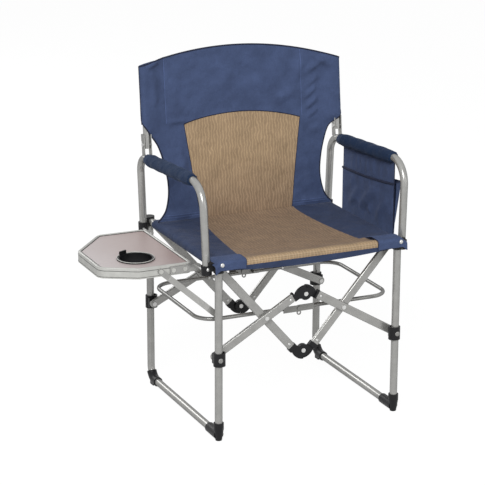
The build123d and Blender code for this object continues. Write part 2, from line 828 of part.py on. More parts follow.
def rim_rivets(clearance):
    """Rivets through the hinge bars and the rim, and the strut's pivot in the front of the rim."""
    radius = rivet_r + clearance
    front = table_front_y - running_gap - hinge_bar_t
    rear = table_rear_y + running_gap + hinge_bar_t
    inside = table_rim_wall + head_h
    rivets = []
    for x in (table_hinge_x - step for step in hinge_bar_rivets):
        rivets.append(rivet_y(x, table_hinge_z, front, table_front_y + inside, radius))
        rivets.append(rivet_y(x, table_hinge_z, rear, table_rear_y - inside, radius))
    strut_face = table_front_y - 2 * running_gap - strut_t
    strut_r = pin_r + clearance
    rivets.append(rivet_y(strut_pivot_x, table_hinge_z, strut_face, table_front_y + inside, strut_r))
    return Part() + rivets


def table_strut():
    """Flat stay from the front of the table to the stud behind the left front leg."""
    top_y = table_front_y - running_gap - strut_t / 2
    foot_y = -leg_half_depth + leg_r + 2 * head_h + running_gap + strut_t / 2
    run = -leg_half_width - strut_pivot_x
    drop = strut_stud_z - table_hinge_z
    length = hypot(run, drop)
    spine = [(0, top_y), (strut_flat, top_y), (length - strut_flat, foot_y), (length, foot_y)]
    near = [(x, y - strut_t / 2) for x, y in spine]
    far = [(x, y + strut_t / 2) for x, y in reversed(spine)]
    strip = make_face(Polyline(*near, *far, close=True))
    bar = extrude(strip, strut_w / 2, both=True)
    eye = Pos(0, top_y, 0) * Rot(90, 0, 0) * Cylinder(strut_w / 2, strut_t)
    hook = Pos(length, foot_y, 0) * Rot(90, 0, 0) * Cylinder(strut_w / 2, strut_t)
    bar += [eye, hook]
    bar = Pos(strut_pivot_x, 0, table_hinge_z) * Rot(0, -degrees(atan2(drop, run)), 0) * bar
    bar -= pin_y(strut_pivot_x, table_hinge_z, top_y - strut_t, top_y + strut_t, pin_r + pin_clearance)
    slot = pin_y(-leg_half_width, strut_stud_z, foot_y - strut_t, foot_y + strut_t, pin_r + running_gap)
    slot += block(
        (-leg_half_width - pin_r - running_gap, -leg_half_width + pin_r + running_gap),
        (foot_y - strut_t, foot_y + strut_t),
        (strut_stud_z - strut_w, strut_stud_z),
    )
    return bar - slot


# Cup holder

def cup_frame(z):
    return Pos(cup_x, cup_y, z)


def bail_z():
    return table_top_z - cup_depth + bail_lift


def cup_ring():
    flange_z = table_top_z - table_panel_drop + panel_gap
    flange = cup_frame(flange_z + cup_flange_t / 2) * Cylinder(cup_flange_r, cup_flange_t)
    top = flange_z + cup_flange_t
    bottom = table_top_z - cup_depth
    middle = cup_frame((top + bottom) / 2)
    ear = Pos((cup_r + cup_flange_r) / 2, 0, top + cup_ear_h / 2) * Box(cup_ear_t, cup_ear_w, cup_ear_h)
    body = flange + middle * Cylinder(cup_r + cup_wall, top - bottom)
    body += cup_frame(0) * Rot(0, 0, cup_ear_angle) * ear
    body -= middle * Cylinder(cup_r, top - bottom)
    reach = cup_r + cup_wall
    return body - pin_y(cup_x, bail_z(), cup_y - reach, cup_y + reach, bail_pin_r + pin_clearance)


def cup_bail():
    """Half-ring that swings down to carry the foot of a cup, stowed flat inside the collar."""
    outer = cup_r - bail_gap
    inner = outer - bail_band
    band = Circle(outer) - Circle(inner)
    band &= Pos(-outer / 2, 0) * Rectangle(outer, 2 * outer)
    half = extrude(band, bail_t / 2, both=True)
    for side in (-1, 1):
        lug_y = sorted((side * inner, side * outer * cos(asin(bail_lug_w / 2 / outer))))
        half += block((-bail_lug_w / 2, bail_lug_w / 2), lug_y, (-bail_t / 2, bail_t / 2))
        half += pin_y(0, 0, side * inner, side * (cup_r + cup_wall), bail_pin_r)
    return cup_frame(bail_z()) * half


# Arm pocket

def arm_pocket():
    """Panel hung from the pad, with a pouch on its outer face that stands open at the mouth."""
    def pad_underside(y):
        return arm_base_z + arm_rise(y) - pad_crown_r - cloth_gap

    face_on = Plane((pocket_x, 0, 0), x_dir=(0, 1, 0), z_dir=(1, 0, 0))
    panel = Polyline(
        (pocket_front_y, pocket_bottom_z),
        (pocket_rear_y, pocket_bottom_z),
        (pocket_rear_y, pad_underside(pocket_rear_y)),
        (pocket_front_y, pad_underside(pocket_front_y)),
        close=True,
    )
    pouch = Polyline(
        (pocket_x, pocket_bottom_z),
        (pocket_x + pocket_foot_w, pocket_bottom_z),
        (pocket_x + pocket_mouth_w, pocket_mouth_z),
        (pocket_x, pocket_mouth_z),
        close=True,
    )
    inside = Polyline(
        (pocket_x + pocket_wall, pocket_mouth_z),
        (pocket_x + pocket_wall, pocket_bottom_z + pocket_foot_w),
        (pocket_x + pocket_mouth_w - pocket_wall, pocket_mouth_z),
        close=True,
    )
    side_on = Plane((0, pocket_rear_y, 0), x_dir=(1, 0, 0), z_dir=(0, -1, 0))
    width = pocket_rear_y - pocket_front_y
    bag = face_on * extrude(make_face(panel), pocket_wall) + extrude(side_on * make_face(pouch), width)
    return bag - extrude(side_on.offset(pocket_wall) * make_face(inside), width - 2 * pocket_wall)


def save(name, shape):
    export_step(shape, f"parts/{name}.step")


def save_pair(name, shape):
    """A piece that both sides of the chair have."""
    save(f"left_{name}", on_left(shape))
    save(f"right_{name}", shape)


def save_scissor(end, pivot_z, place):
    """The bars, elbows, pins and sliders of the front or rear scissor."""
    top_z = short_elbow_height(pivot_z)
    top_drift = short_bar_drift(0, top_z, pivot_z)
    for name, sizes, drift in (("long", long_bar(), 0), ("short", short_bar(pivot_z), top_drift)):
        *elbow_sizes, _ = sizes
        save(f"{end}_left_{name}_bar", place(on_left(bar_tube(*sizes))))
        save(f"{end}_right_{name}_bar", place(bar_tube(*sizes)))
        save(f"{end}_left_{name}_elbow", place(on_left(elbow_half(*elbow_sizes, 1, drift))))
        save(f"{end}_right_{name}_elbow", place(elbow_half(*elbow_sizes, -1, drift)))
    pins = short_bar_pins(pivot_z)
    save(f"{end}_left_short_bar_pins", place(Part() + [on_left(pins), tongue_rivet(top_z, short_layer, 1)]))
    save(f"{end}_right_short_bar_pins", place(Part() + [pins, tongue_rivet(top_z, short_layer, -1)]))
    save(f"{end}_long_elbow_rivet", place(elbow_rivet(long_elbow_z, long_layer)))
    save(f"{end}_left_slider", place(on_left(slider(pivot_z))))
    save(f"{end}_right_slider", place(slider(pivot_z)))


os.makedirs("parts", exist_ok=True)

save_pair("front_leg", front_leg())
save_pair("rear_leg_rail", rear_leg_rail())
save_pair("seat_rail", tube(seat_rail_path(), seat_rail_d, tube_wall))
save_pair("front_foot", front_foot())
save_pair("rear_foot", rear_foot())
save_pair("arm_loop", arm_loop())
save_pair("arm_pad", arm_pad())
corner_blocks = Part() + [knuckle(-1), knuckle(1)]
save("left_knuckles", on_left(corner_blocks) - table_hinge_pins(pin_clearance))
save("right_knuckles", corner_blocks)
save("left_pins", Part() + [on_left(back_hinge_pin()), table_hinge_pins(0), strut_stud()])
save("right_back_hinge_pin", back_hinge_pin())
save_pair("back_upright", back_upright())
save_scissor("front", front_short_pivot_z, lambda shape: shape)
save_scissor("rear", rear_short_pivot_z, at_rear)
save("left_spreader", on_left(spreader(True)))
save("right_spreader", spreader(False))
save("seat_cloth", seat_cloth())
save("back_upper_cloth", back_upper_cloth())
save("back_lower_cloth", back_lower_cloth())
save("table_rim", table_rim())
save("table_panel", table_panel())
save("table_hinge_bars", hinge_bars())
save("table_rivets", rim_rivets(0))
save("table_strut", table_strut())
save("cup_ring", cup_ring())
save("cup_bail", cup_bail())
save("arm_pocket", arm_pocket())
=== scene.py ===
"""Looks of the folding camp chair: cloth, pads, pocket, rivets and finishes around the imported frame.

Lengths are in metres in the chair's own frame: X across the seat, Y from the front edge to the back, Z up.
"""
import math
from functools import partial

import bmesh
import bpy
from mathutils import Matrix, Vector


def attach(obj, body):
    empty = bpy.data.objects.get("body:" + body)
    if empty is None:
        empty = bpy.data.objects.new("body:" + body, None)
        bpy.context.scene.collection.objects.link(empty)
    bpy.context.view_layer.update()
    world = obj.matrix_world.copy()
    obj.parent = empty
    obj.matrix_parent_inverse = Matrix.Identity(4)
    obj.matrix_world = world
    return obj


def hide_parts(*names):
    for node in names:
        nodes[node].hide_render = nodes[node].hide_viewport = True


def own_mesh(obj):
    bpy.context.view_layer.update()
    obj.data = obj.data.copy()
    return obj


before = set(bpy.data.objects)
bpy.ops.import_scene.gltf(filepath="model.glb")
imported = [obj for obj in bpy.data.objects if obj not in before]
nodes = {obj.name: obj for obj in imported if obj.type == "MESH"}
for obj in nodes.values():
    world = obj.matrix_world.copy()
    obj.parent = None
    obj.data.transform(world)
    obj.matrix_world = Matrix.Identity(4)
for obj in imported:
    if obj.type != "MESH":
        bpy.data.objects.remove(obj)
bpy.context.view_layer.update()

SIDES = (("left", -1), ("right", 1))

# Frame sizes that the cloth and the fasteners are set against
LEG_X = 0.241
RAIL_Z = 0.441
RAIL_R = 0.008
HINGE_Y = 0.168
HINGE_Z = 0.654
BACK_LEAN = math.radians(6)
UPRIGHT_X = 0.267

# Camera
VIEW_AZIMUTH = math.radians(-24.474)
VIEW_ELEVATION = math.radians(16.847)
VIEW_ROLL = math.radians(0.202)
VIEW_OFFSET = (0.070474, -0.3944, 5.054053)
VIEW_REACH = 100
FOCAL_PIXELS = 1956.727
FRAME_PIXELS = 485
SENSOR_MM = 36

# Colours, linear
NAVY = (0.052, 0.076, 0.158)
NAVY_DARK = (0.016, 0.020, 0.043)
# Navy of the pads: the same canvas, darkened as painted shade
PAD_NAVY_PAINTED_SHADE = (0.008, 0.021, 0.055)
TAN = (0.385, 0.273, 0.166)
# Tan of the mesh in painted shade, used at the foot of the back and over the seat
TAN_SHADED = (0.27, 0.187, 0.122)
TAN_THREAD = (0.52, 0.41, 0.28)
SILVER = (0.345, 0.343, 0.331)
BRIGHT = (0.60, 0.60, 0.59)
EDGE_TINT = (0.12, 0.12, 0.13)
BLACK = (0.008, 0.008, 0.009)
# Board colours: the board runs between these with its grain and clouds, and turns pale towards its outer
# end as a painted sheen
TAUPE = (0.57, 0.535, 0.54)
TAUPE_WARM = (0.30, 0.200, 0.175)
RIM_GREY = (0.50, 0.50, 0.475)
NAVY_SHEEN = (0.5, 0.6, 0.9)
PALE_SHEEN = (0.7, 0.7, 0.8)
WHITE = (1, 1, 1, 1)
FLOOR_GREY = (0.5, 0.5, 0.5, 1)

# Cloth
CLOTH_T = 0.0018
FOLD_DEPTH = 0.011
RIPPLE_DEPTH = 0.0008
THREAD_DEPTH = 0.00016
WEAVE_PITCH = 0.0016
YARN_PITCH = 0.0082
YARN_SWAY = 0.0075
HOLE_PITCH = 0.0030
CREASE_END = 0.04
MERGE_DISTANCE = 1e-5
SHARP_ANGLE = math.radians(50)
REST_PLACE = "rest_place"

# Threads, bindings and piping
BINDING_R = 0.0021
SEAM_THREAD_R = 0.0007
NOSE_THREAD_R = 0.0005
HEAD_PIPING_R = 0.0012
SIDE_PIPING_R = 0.0008
CAP_BINDING_R = 0.001

# Back
BACK_EDGE = 0.2775
BACK_FIXED_X = 0.2348
BACK_CREST_Z = 0.884
BACK_CORNER_Z = 0.8405
BACK_TILT = -0.036
BACK_FOOT_Z = 0.4545
BACK_HOLLOW = 0.006
HOLLOW_HALF = 0.25
HOLLOW_FOOT_Z = 0.46
HOLLOW_FULL_Z = 0.56
SLEEVE_SEAM_X = 0.211
RIGHT_SEAM_X = 0.168
SLEEVE_SEAMS = (("left", -SLEEVE_SEAM_X), ("right", RIGHT_SEAM_X))
SEAM_DEPTH = 0.0011
SEAM_WIDTH = 0.0025
SEAM_START_Z = 0.69
SEAM_FULL_Z = 0.71
FOOT_STITCHES = (0.4625, 0.4685)
FOOT_STITCH_MARGIN = 0.006
SLEEVE_BULGE = 0.0106
SLEEVE_FOOT_Z = 0.694
BACK_HALF_WIDTHS = (
    (0.44, 0.254), (0.4545, 0.2465), (0.465, 0.2355), (0.485, 0.2225), (0.53, 0.2135), (0.58, 0.2175),
    (0.625, 0.2285), (0.654, 0.240), (0.668, 0.2515), (0.681, 0.265), (0.694, 0.2752), (0.704, BACK_EDGE),
    (0.75, BACK_EDGE), (0.95, BACK_EDGE),
)

# Tan mesh panels
BACK_MESH_FOOT_HALF = 0.129
BACK_MESH_WIDENING = 0.142
BACK_MESH_CREST_Z = 0.7145
BACK_MESH_ARCH = 0.87
MESH_HEAD_HALF = 0.162
MESH_CORNER_TILT = 0.006
# The back's mesh goes from painted shade at the lower of these heights to full colour at the upper one
MESH_PAINTED_SHADE_FULL_Z = 0.45
MESH_PAINTED_SHADE_END_Z = 0.6
SEAT_MESH_REAR_HALF = 0.131
SEAT_MESH_WIDENING = 0.108
SEAT_MESH_REAR_Y = 0.150
SEAT_NOSE_HALF = 0.1785
SEAT_NOSE_START_Y = -0.163
SEAM_FRONT_Y = -0.2325
NOSE_SEAM_Z = 0.4437
# The seat's mesh goes from painted shade at the first of these depths to full colour, a painted light, over
# the front roll at the second
ROLL_PAINTED_SHADE_Y = -0.214
ROLL_PAINTED_LIGHT_Y = -0.226

# Seat
NOSE_R = 0.0065
NOSE_TOP_Z = 0.4575
NOSE_FRONT_Y = -0.2372
NOSE_EDGE_X = 0.2265
HEM_MIDDLE_Z = 0.4265
HEM_RISE = 0.010
SEAT_REAR_Y = 0.1525
SEAT_FLAT_END = 0.78
SEAT_NOSE_END = 0.9
SIDE_RISE_START_X = 0.12
SIDE_RISE_END_X = 0.232
SIDE_RISE_FRONT_Y = -0.225
SIDE_RISE_REAR_Y = -0.185
SLEEVE_R = RAIL_R + 0.0026
SLEEVE_FRONT_Y = -0.1812
SLEEVE_REAR_Y = 0.177
SLEEVE_OVER_END = 0.22
SLEEVE_UNDER_START = 0.78
SLEEVE_TUCK = 0.022
SEAT_PROFILE = (
    (-0.2285, NOSE_TOP_Z), (-0.214, 0.4560), (-0.195, 0.4500), (-0.17, 0.4445), (-0.13, 0.4412),
    (-0.07, 0.4402), (0.0, 0.4412), (0.07, 0.4440), (0.12, 0.4485), (SEAT_REAR_Y, 0.4545),
)
NOSE_STITCHES = (("upper", 0.862), ("lower", 0.908))
STITCH_LIFT = Vector((0, -0.0007, 0.0003))

# Creases in the cloth: start, end, width and height, from two coordinates that lie in the cloth
BACK_CREASES = (
    ((0.172, 0.736), (0.214, 0.774), 0.0070, 0.0062),
    ((0.172, 0.708), (0.216, 0.744), 0.0070, 0.0062),
    ((0.174, 0.764), (0.222, 0.802), 0.0080, 0.0062),
    ((0.178, 0.686), (0.216, 0.716), 0.0065, 0.0048),
    ((0.176, 0.800), (0.238, 0.844), 0.0090, 0.0066),
    ((0.196, 0.852), (0.264, 0.812), 0.0085, 0.0066),
    ((0.150, 0.780), (0.176, 0.855), 0.0120, 0.0048),
    ((-0.110, 0.756), (-0.015, 0.816), 0.0180, 0.0058),
    ((0.070, 0.728), (0.165, 0.766), 0.0150, 0.0052),
    ((0.010, 0.760), (0.120, 0.830), 0.0200, 0.0040),
    ((-0.264, 0.836), (-0.222, 0.854), 0.0065, 0.0062),
    ((-0.245, 0.700), (-0.240, 0.840), 0.0110, 0.0042),
    ((-0.215, 0.697), (-0.150, 0.700), 0.0065, 0.0046),
    ((-0.190, 0.700), (-0.180, 0.810), 0.0150, 0.0034),
    ((-0.060, 0.800), (-0.050, 0.870), 0.0180, 0.0034),
    ((-0.205, 0.560), (-0.150, 0.610), 0.0150, 0.0044),
    ((-0.185, 0.640), (-0.160, 0.560), 0.0120, 0.0034),
    ((0.150, 0.470), (0.225, 0.462), 0.0080, 0.0050),
    ((-0.225, 0.470), (-0.150, 0.466), 0.0080, 0.0050),
    ((0.168, 0.570), (0.196, 0.500), 0.0140, 0.0040),
    ((0.180, 0.640), (0.222, 0.662), 0.0100, 0.0038),
)
SEAT_CREASES = (
    ((-0.225, 0.02), (-0.165, -0.10), 0.012, 0.0022),
    ((0.175, 0.05), (0.215, -0.08), 0.012, 0.0018),
    ((-0.200, 0.135), (-0.145, 0.128), 0.008, 0.0020),
    ((0.150, 0.128), (0.205, 0.135), 0.008, 0.0018),
    ((-0.090, -0.05), (0.060, -0.07), 0.040, -0.0015),
)
POCKET_CREASES = (
    ((0.045, 0.455), (-0.055, 0.545), 0.014, 0.0060),
    ((-0.050, 0.450), (-0.115, 0.530), 0.012, 0.0050),
    ((0.100, 0.455), (0.030, 0.520), 0.012, 0.0040),
    ((0.085, 0.500), (0.075, 0.545), 0.008, 0.0026),
    ((-0.010, 0.480), (-0.030, 0.470), 0.010, 0.0034),
    ((0.085, 0.553), (0.080, 0.600), 0.005, 0.0026),
    ((0.060, 0.556), (0.052, 0.602), 0.006, 0.0034),
    ((0.034, 0.556), (0.030, 0.604), 0.005, 0.0030),
    ((0.008, 0.558), (0.000, 0.604), 0.006, 0.0034),
    ((-0.026, 0.562), (-0.030, 0.606), 0.006, 0.0026),
    ((-0.064, 0.566), (-0.070, 0.608), 0.006, 0.0024),
    ((-0.104, 0.570), (-0.108, 0.610), 0.006, 0.0022),
)

# Corner caps at the front of the seat
CAP_IN_X = 0.1775
CAP_OUT_X = 0.2575
CAP_TOP_Z = 0.4595
CAP_REAR_Z = 0.4532
CAP_FRONT_Y = -0.2404
CAP_REAR_Y = -0.176
CAP_FOOT_Z = 0.4365
CAP_FOOT_CLIMB = 0.002
CAP_R = 0.007
CAP_BEND_START = 0.55
CAP_BEND_END = 0.7
CAP_RISE_END = 0.5
CAP_DROP = 0.010
CAP_DROP_START = 0.82
CAP_WAVE = 0.0008
CAP_WAVES_ACROSS = 9
CAP_WAVES_ALONG = 5

# Arm rests and their pads
TUBE_R = 0.0095
PAD_ARM_X = 0.264
PAD_SPLAY = math.radians(2)
PAD_BASE_Z = 0.434
ARM_FRONT_Y = -0.1942
ARM_FRONT_RISE = 0.207
ARM_REAR_Y = 0.2056
ARM_REAR_RISE = 0.183
ARM_CLIMB = (ARM_FRONT_RISE - ARM_REAR_RISE) / (ARM_REAR_Y - ARM_FRONT_Y)
PAD_FRONT_Y = -0.136
PAD_REAR_Y = 0.1525
PAD_END_R = 0.0138
PAD_FULL_R = 0.0163
PAD_TUBE_GAP = 0.0002
PAD_SWELL_END = 0.12
PAD_CLOSE_END = 0.012
PAD_WRINKLE_END = 0.02
GATHER_DEPTH = 0.0007
GATHER_COUNT = 11
GATHER_REACH = 0.045
GATHER_START = 0.01
PAD_WAVE = 0.0005
PAD_WAVES_AROUND = 2
PAD_WAVES_ALONG = 31
PAD_SEAM_DEPTH = 0.0012
PAD_SEAM_AT = 0.62
PAD_SEAM_WIDTH = 0.018

# Arm pocket
POCKET_X = 0.2728
POCKET_FRONT_Y = -0.1385
POCKET_REAR_Y = 0.1345
POCKET_FOOT_Z = 0.4255
POCKET_FOOT_CLIMB = 0.038
POCKET_TUCK = 0.003
POCKET_CLOTH_T = 0.0014
POCKET_FULLNESS = 1.4
PANEL_RELIEF = 0.6
INNER_GAP = 0.0022
INNER_SWELL = 0.002
ELASTIC_REAR_Z = 0.549
ELASTIC_FRONT_Z = 0.569
ELASTIC_SAG = 0.003
MOUTH_LIFT = Vector((0.0006, 0, 0))
POUCH_GAP = 0.002
POUCH_DEPTH = 0.0235
POUCH_RISE = 0.004
POUCH_FLARE = 0.8
POUCH_EDGE = 0.03
POUCH_EDGE_SHARE = 0.25
POUCH_RELIEF = 0.5

# Table
# The board's painted sheen runs from none at the inner of these two to full at the outer
BOARD_PAINTED_SHEEN_START_X = -0.29
BOARD_PAINTED_SHEEN_FULL_X = -0.50
BOARD_STRETCH = (9.0, 160.0, 9.0)
TABLE_TOP_Z = 0.440
TABLE_CORNERS = (
    ((-0.283, 0.147), 0.014), ((-0.411, 0.147), 0.026), ((-0.503, 0.038), 0.026),
    ((-0.503, -0.110), 0.026), ((-0.419, -0.157), 0.026), ((-0.283, -0.157), 0.014),
)
CUP_X = -0.394
CUP_Y = -0.072
# Pale ring round the cup flange, a painted highlight
CUP_LIP_R = 0.0452
CUP_LIP_Z = 0.4424
CUP_LIP_WIRE_R = 0.0011
CUP_LIP_POINTS = 72

# Rivets, which all face the front
FORWARD = (0, -1, 0)
CAP_RIVET = (0.240, CAP_FRONT_Y - 0.0006, 0.4512)
SLIDER_RIVET = (LEG_X, -0.2332, 0.2085)
KNUCKLE_RIVET = (PAD_ARM_X + 0.0005, -0.2129, 0.4355)
ELBOW_REACH = 0.032
BAR_RIVET_INSET = 0.009
BAR_RIVET_LIFT = 0.0003

# Scissor bars: end, bar, Y of the front face, Z of the pivot and of the elbow, offset from the elbow
BAR_SIZES = (
    ("front", "long", -0.1914, 0.441, 0.187, 0.015),
    ("front", "short", -0.2020, 0.2085, 0.33712, -0.011),
    ("rear", "long", 0.1814, 0.441, 0.187, 0.015),
    ("rear", "short", 0.1920, 0.222, 0.32744, -0.011),
)

# Studio
WORLD_SEEN = 1.0
WORLD_LIGHT = 0.40
FLOOR_HALF = 12
FLOOR_GLOW = 1.17
FLOOR_GLOW_SHARE = 0.8


def smooth_step(low, high, value):
    share = min(max((value - low) / (high - low), 0.0), 1.0)
    return share * share * (3 - 2 * share)


def smooth_curve(stops, at):
    """Value at a place on a smooth curve through (place, value) stops."""
    at = min(max(at, stops[0][0]), stops[-1][0])
    last = len(stops) - 2
    i = next((k for k in range(last) if at <= stops[k + 1][0]), last)
    (x0, y0), (x1, y1) = stops[i], stops[i + 1]
    before = stops[max(i - 1, 0)]
    after = stops[min(i + 2, last + 1)]
    slope0 = (y1 - before[1]) / (x1 - before[0])
    slope1 = (after[1] - y0) / (after[0] - x0)
    width = x1 - x0
    t = (at - x0) / width
    return (
        (2 * t ** 3 - 3 * t ** 2 + 1) * y0
        + (t ** 3 - 2 * t ** 2 + t) * width * slope0
        + (3 * t ** 2 - 2 * t ** 3) * y1
        + (t ** 3 - t ** 2) * width * slope1
    )


def steps(count):
    """Shares from 0 to 1 in even steps."""
    return [i / count for i in range(count + 1)]


def crease(across, up, start, end, width, height):
    """Height of a soft ridge along a line on a cloth, which fades towards both ends of the line."""
    run = Vector(end) - Vector(start)
    offset = Vector((across, up)) - Vector(start)
    share = min(max(offset.dot(run) / run.length_squared, 0.0), 1.0)
    apart = (offset - share * run).length
    fade = math.sin(math.pi * min(max(share, CREASE_END), 1 - CREASE_END))
    return height * fade * math.exp(-(apart / width) ** 2)


def scaled(colour, share):
    return tuple(channel * share for channel in colour)


# Material nodes

def new_material(name):
    material = bpy.data.materials.new(name)
    material.use_nodes = True
    return material, material.node_tree, material.node_tree.nodes["Principled BSDF"]


def set_inputs(tree, node, inputs):
    """Give a node's inputs, by name or number, their values, or link them to the sockets given."""
    for key, value in inputs.items():
        if isinstance(value, bpy.types.NodeSocket):
            tree.links.new(value, node.inputs[key])
        else:
            node.inputs[key].default_value = value


def add_node(tree, kind, inputs, **settings):
    """New node with inputs and settings."""
    node = tree.nodes.new(kind)
    for key, value in settings.items():
        setattr(node, key, value)
    set_inputs(tree, node, inputs)
    return node


def maths(tree, operation, *values):
    """Result of a Math node on values or sockets."""
    return add_node(tree, "ShaderNodeMath", dict(enumerate(values)), operation=operation).outputs[0]


def weighted_sum(tree, *terms):
    """Sum of sockets, each given with its weight."""
    total = 0.0
    for value, weight in terms:
        total = maths(tree, "MULTIPLY_ADD", value, weight, total)
    return total


def object_place(tree):
    return add_node(tree, "ShaderNodeTexCoord", {}).outputs["Object"]


def cloth_place(tree):
    """Place of a point of cloth at rest, which moves with the cloth when it folds."""
    return add_node(tree, "ShaderNodeAttribute", {}, attribute_name=REST_PLACE).outputs["Vector"]


def split_place(tree, place):
    """The X, Y and Z of a place."""
    return add_node(tree, "ShaderNodeSeparateXYZ", {"Vector": place}).outputs


def noise(tree, place, scale, detail):
    inputs = {"Vector": place, "Scale": scale, "Detail": detail}
    return add_node(tree, "ShaderNodeTexNoise", inputs).outputs["Fac"]


def ramp(tree, value, start, end):
    """Share from 0 at start to 1 at end."""
    return add_node(tree, "ShaderNodeMapRange", {0: value, 1: start, 2: end}).outputs[0]


def spread(tree, factor, low, high):
    """Factor from 0 to 1 stretched between two values."""
    return add_node(tree, "ShaderNodeMapRange", {0: factor, 3: low, 4: high}).outputs[0]


def opaque(colour):
    """Colour with its alpha. A socket stays as it is."""
    return colour if isinstance(colour, bpy.types.NodeSocket) else (*colour, 1)


def tinted(tree, factor, dark, light):
    """Colour between a dark and a light one, each a colour or a socket."""
    inputs = {0: factor, 6: opaque(dark), 7: opaque(light)}
    return add_node(tree, "ShaderNodeMix", inputs, data_type="RGBA").outputs[2]


def bump(tree, height, strength, distance):
    inputs = {"Height": height, "Strength": strength, "Distance": distance}
    return add_node(tree, "ShaderNodeBump", inputs).outputs[0]


# Hard finishes

def coated_metal(name, colour, metallic, roughness):
    """Powder-coated tube: fine grain, faint handling marks and a satin sheen."""
    material, tree, shader = new_material(name)
    place = object_place(tree)
    grain = noise(tree, place, scale=1400.0, detail=2.0)
    marks = noise(tree, place, scale=45.0, detail=6.0)
    set_inputs(tree, shader, {
        "Base Color": tinted(tree, marks, dark=scaled(colour, 0.82), light=scaled(colour, 1.18)),
        "Roughness": spread(tree, marks, low=roughness - 0.06, high=roughness + 0.07),
        "Metallic": metallic,
        "Specular Tint": opaque(EDGE_TINT),
        "Specular IOR Level": 0.3,
        "Normal": bump(tree, grain, strength=0.12, distance=0.0002),
    })
    return material


def moulded_plastic(name, colour, roughness):
    """Moulded plastic with a fine spark-eroded grain and scuffs."""
    material, tree, shader = new_material(name)
    place = object_place(tree)
    grain = noise(tree, place, scale=900.0, detail=2.0)
    scuffs = noise(tree, place, scale=60.0, detail=6.0)
    set_inputs(tree, shader, {
        "Base Color": tinted(tree, scuffs, dark=colour, light=scaled(colour, 1.9)),
        "Roughness": spread(tree, scuffs, low=roughness - 0.08, high=roughness + 0.12),
        "Specular IOR Level": 0.2,
        "Normal": bump(tree, grain, strength=0.2, distance=0.0003),
    })
    return material


def table_board(name):
    """Smooth laminate with a faint brushed grain, and paler towards the table's outer end as a painted
    sheen.
    """
    material, tree, shader = new_material(name)
    place = object_place(tree)
    stretched = add_node(tree, "ShaderNodeMapping", {"Vector": place, "Scale": BOARD_STRETCH}).outputs[0]
    grain = noise(tree, stretched, scale=6.0, detail=4.0)
    clouds = noise(tree, place, scale=9.0, detail=2.0)
    # Painted sheen: the board grows paler towards its outer end
    fade = ramp(tree, split_place(tree, place)[0], BOARD_PAINTED_SHEEN_START_X, BOARD_PAINTED_SHEEN_FULL_X)
    tone = weighted_sum(tree, (grain, 0.3), (clouds, 0.2), (fade, 0.5))
    set_inputs(tree, shader, {
        "Base Color": tinted(tree, tone, dark=TAUPE_WARM, light=TAUPE),
        "Roughness": spread(tree, clouds, low=0.3, high=0.42),
        "Specular IOR Level": 0.3,
        "Normal": bump(tree, grain, strength=0.05, distance=0.0002),
    })
    return material


# Cloth finishes

def weave_height(tree, across, up, pitch):
    """Plain weave of threads as a height from 0 to 1, from two coordinates in metres."""
    turns = math.tau / pitch
    warp = maths(tree, "SINE", maths(tree, "MULTIPLY", across, turns))
    weft = maths(tree, "SINE", maths(tree, "MULTIPLY", up, turns))
    return maths(tree, "MULTIPLY_ADD", maths(tree, "MULTIPLY", warp, weft), 0.5, 0.5)


def cloth_axes(tree, place, facing):
    """The two coordinates that lie in a cloth facing along one axis."""
    x, y, z = split_place(tree, place)
    return {"x": (y, z), "y": (x, z), "z": (x, y)}[facing]


def woven_colour(tree, place, across, up, colour):
    """Heathered cloth colour and the height of its weave."""
    weave = weave_height(tree, across, up, WEAVE_PITCH)
    patches = noise(tree, place, scale=26.0, detail=4.0)
    slubs = noise(tree, place, scale=420.0, detail=2.0)
    tone = weighted_sum(tree, (patches, 0.55), (slubs, 0.3), (weave, 0.15))
    return tinted(tree, tone, dark=scaled(colour, 0.45), light=scaled(colour, 1.55)), weave


def dress_cloth(tree, shader, place, colours, weave, sheen, tint):
    """Cloth of given colours with a soft sheen, and its weave on shallow wrinkles of two sizes."""
    folds = noise(tree, place, scale=17.0, detail=2.0)
    ripples = noise(tree, place, scale=75.0, detail=2.0)
    height = weighted_sum(tree, (folds, FOLD_DEPTH), (ripples, RIPPLE_DEPTH), (weave, THREAD_DEPTH))
    set_inputs(tree, shader, {
        "Base Color": colours,
        "Roughness": 0.86,
        "Sheen Weight": sheen,
        "Sheen Roughness": 0.45,
        "Sheen Tint": opaque(tint),
        "Specular IOR Level": 0.25,
        "Normal": bump(tree, height, strength=1.0, distance=1.0),
    })


def plain_cloth(name, facing, colour=NAVY):
    """Plain-woven cloth, binding or thread of one colour."""
    material, tree, shader = new_material(name)
    place = cloth_place(tree)
    across, up = cloth_axes(tree, place, facing)
    colours, weave = woven_colour(tree, place, across, up, colour)
    dress_cloth(tree, shader, place, colours, weave, sheen=0.05, tint=NAVY_SHEEN)
    return material


def open_mesh(tree, place, across, up, colour):
    """Open-weave mesh: fine rows of holes between columns of yarn that wander from side to side."""
    sway = spread(tree, noise(tree, place, scale=52.0, detail=2.0), low=-YARN_SWAY, high=YARN_SWAY)
    wander = maths(tree, "ADD", across, sway)
    columns = maths(tree, "SINE", maths(tree, "MULTIPLY", wander, math.tau / YARN_PITCH))
    yarn = spread(tree, columns, low=0.03, high=0.33)
    holes = weave_height(tree, across, up, HOLE_PITCH)
    patches = noise(tree, place, scale=30.0, detail=5.0)
    tone = weighted_sum(tree, (yarn, 1.0), (holes, 0.3), (patches, 0.34))
    shade = spread(tree, tone, low=0.5, high=1.48)
    shaded = add_node(tree, "ShaderNodeVectorMath", {0: colour, 3: shade}, operation="SCALE").outputs[0]
    return shaded, holes


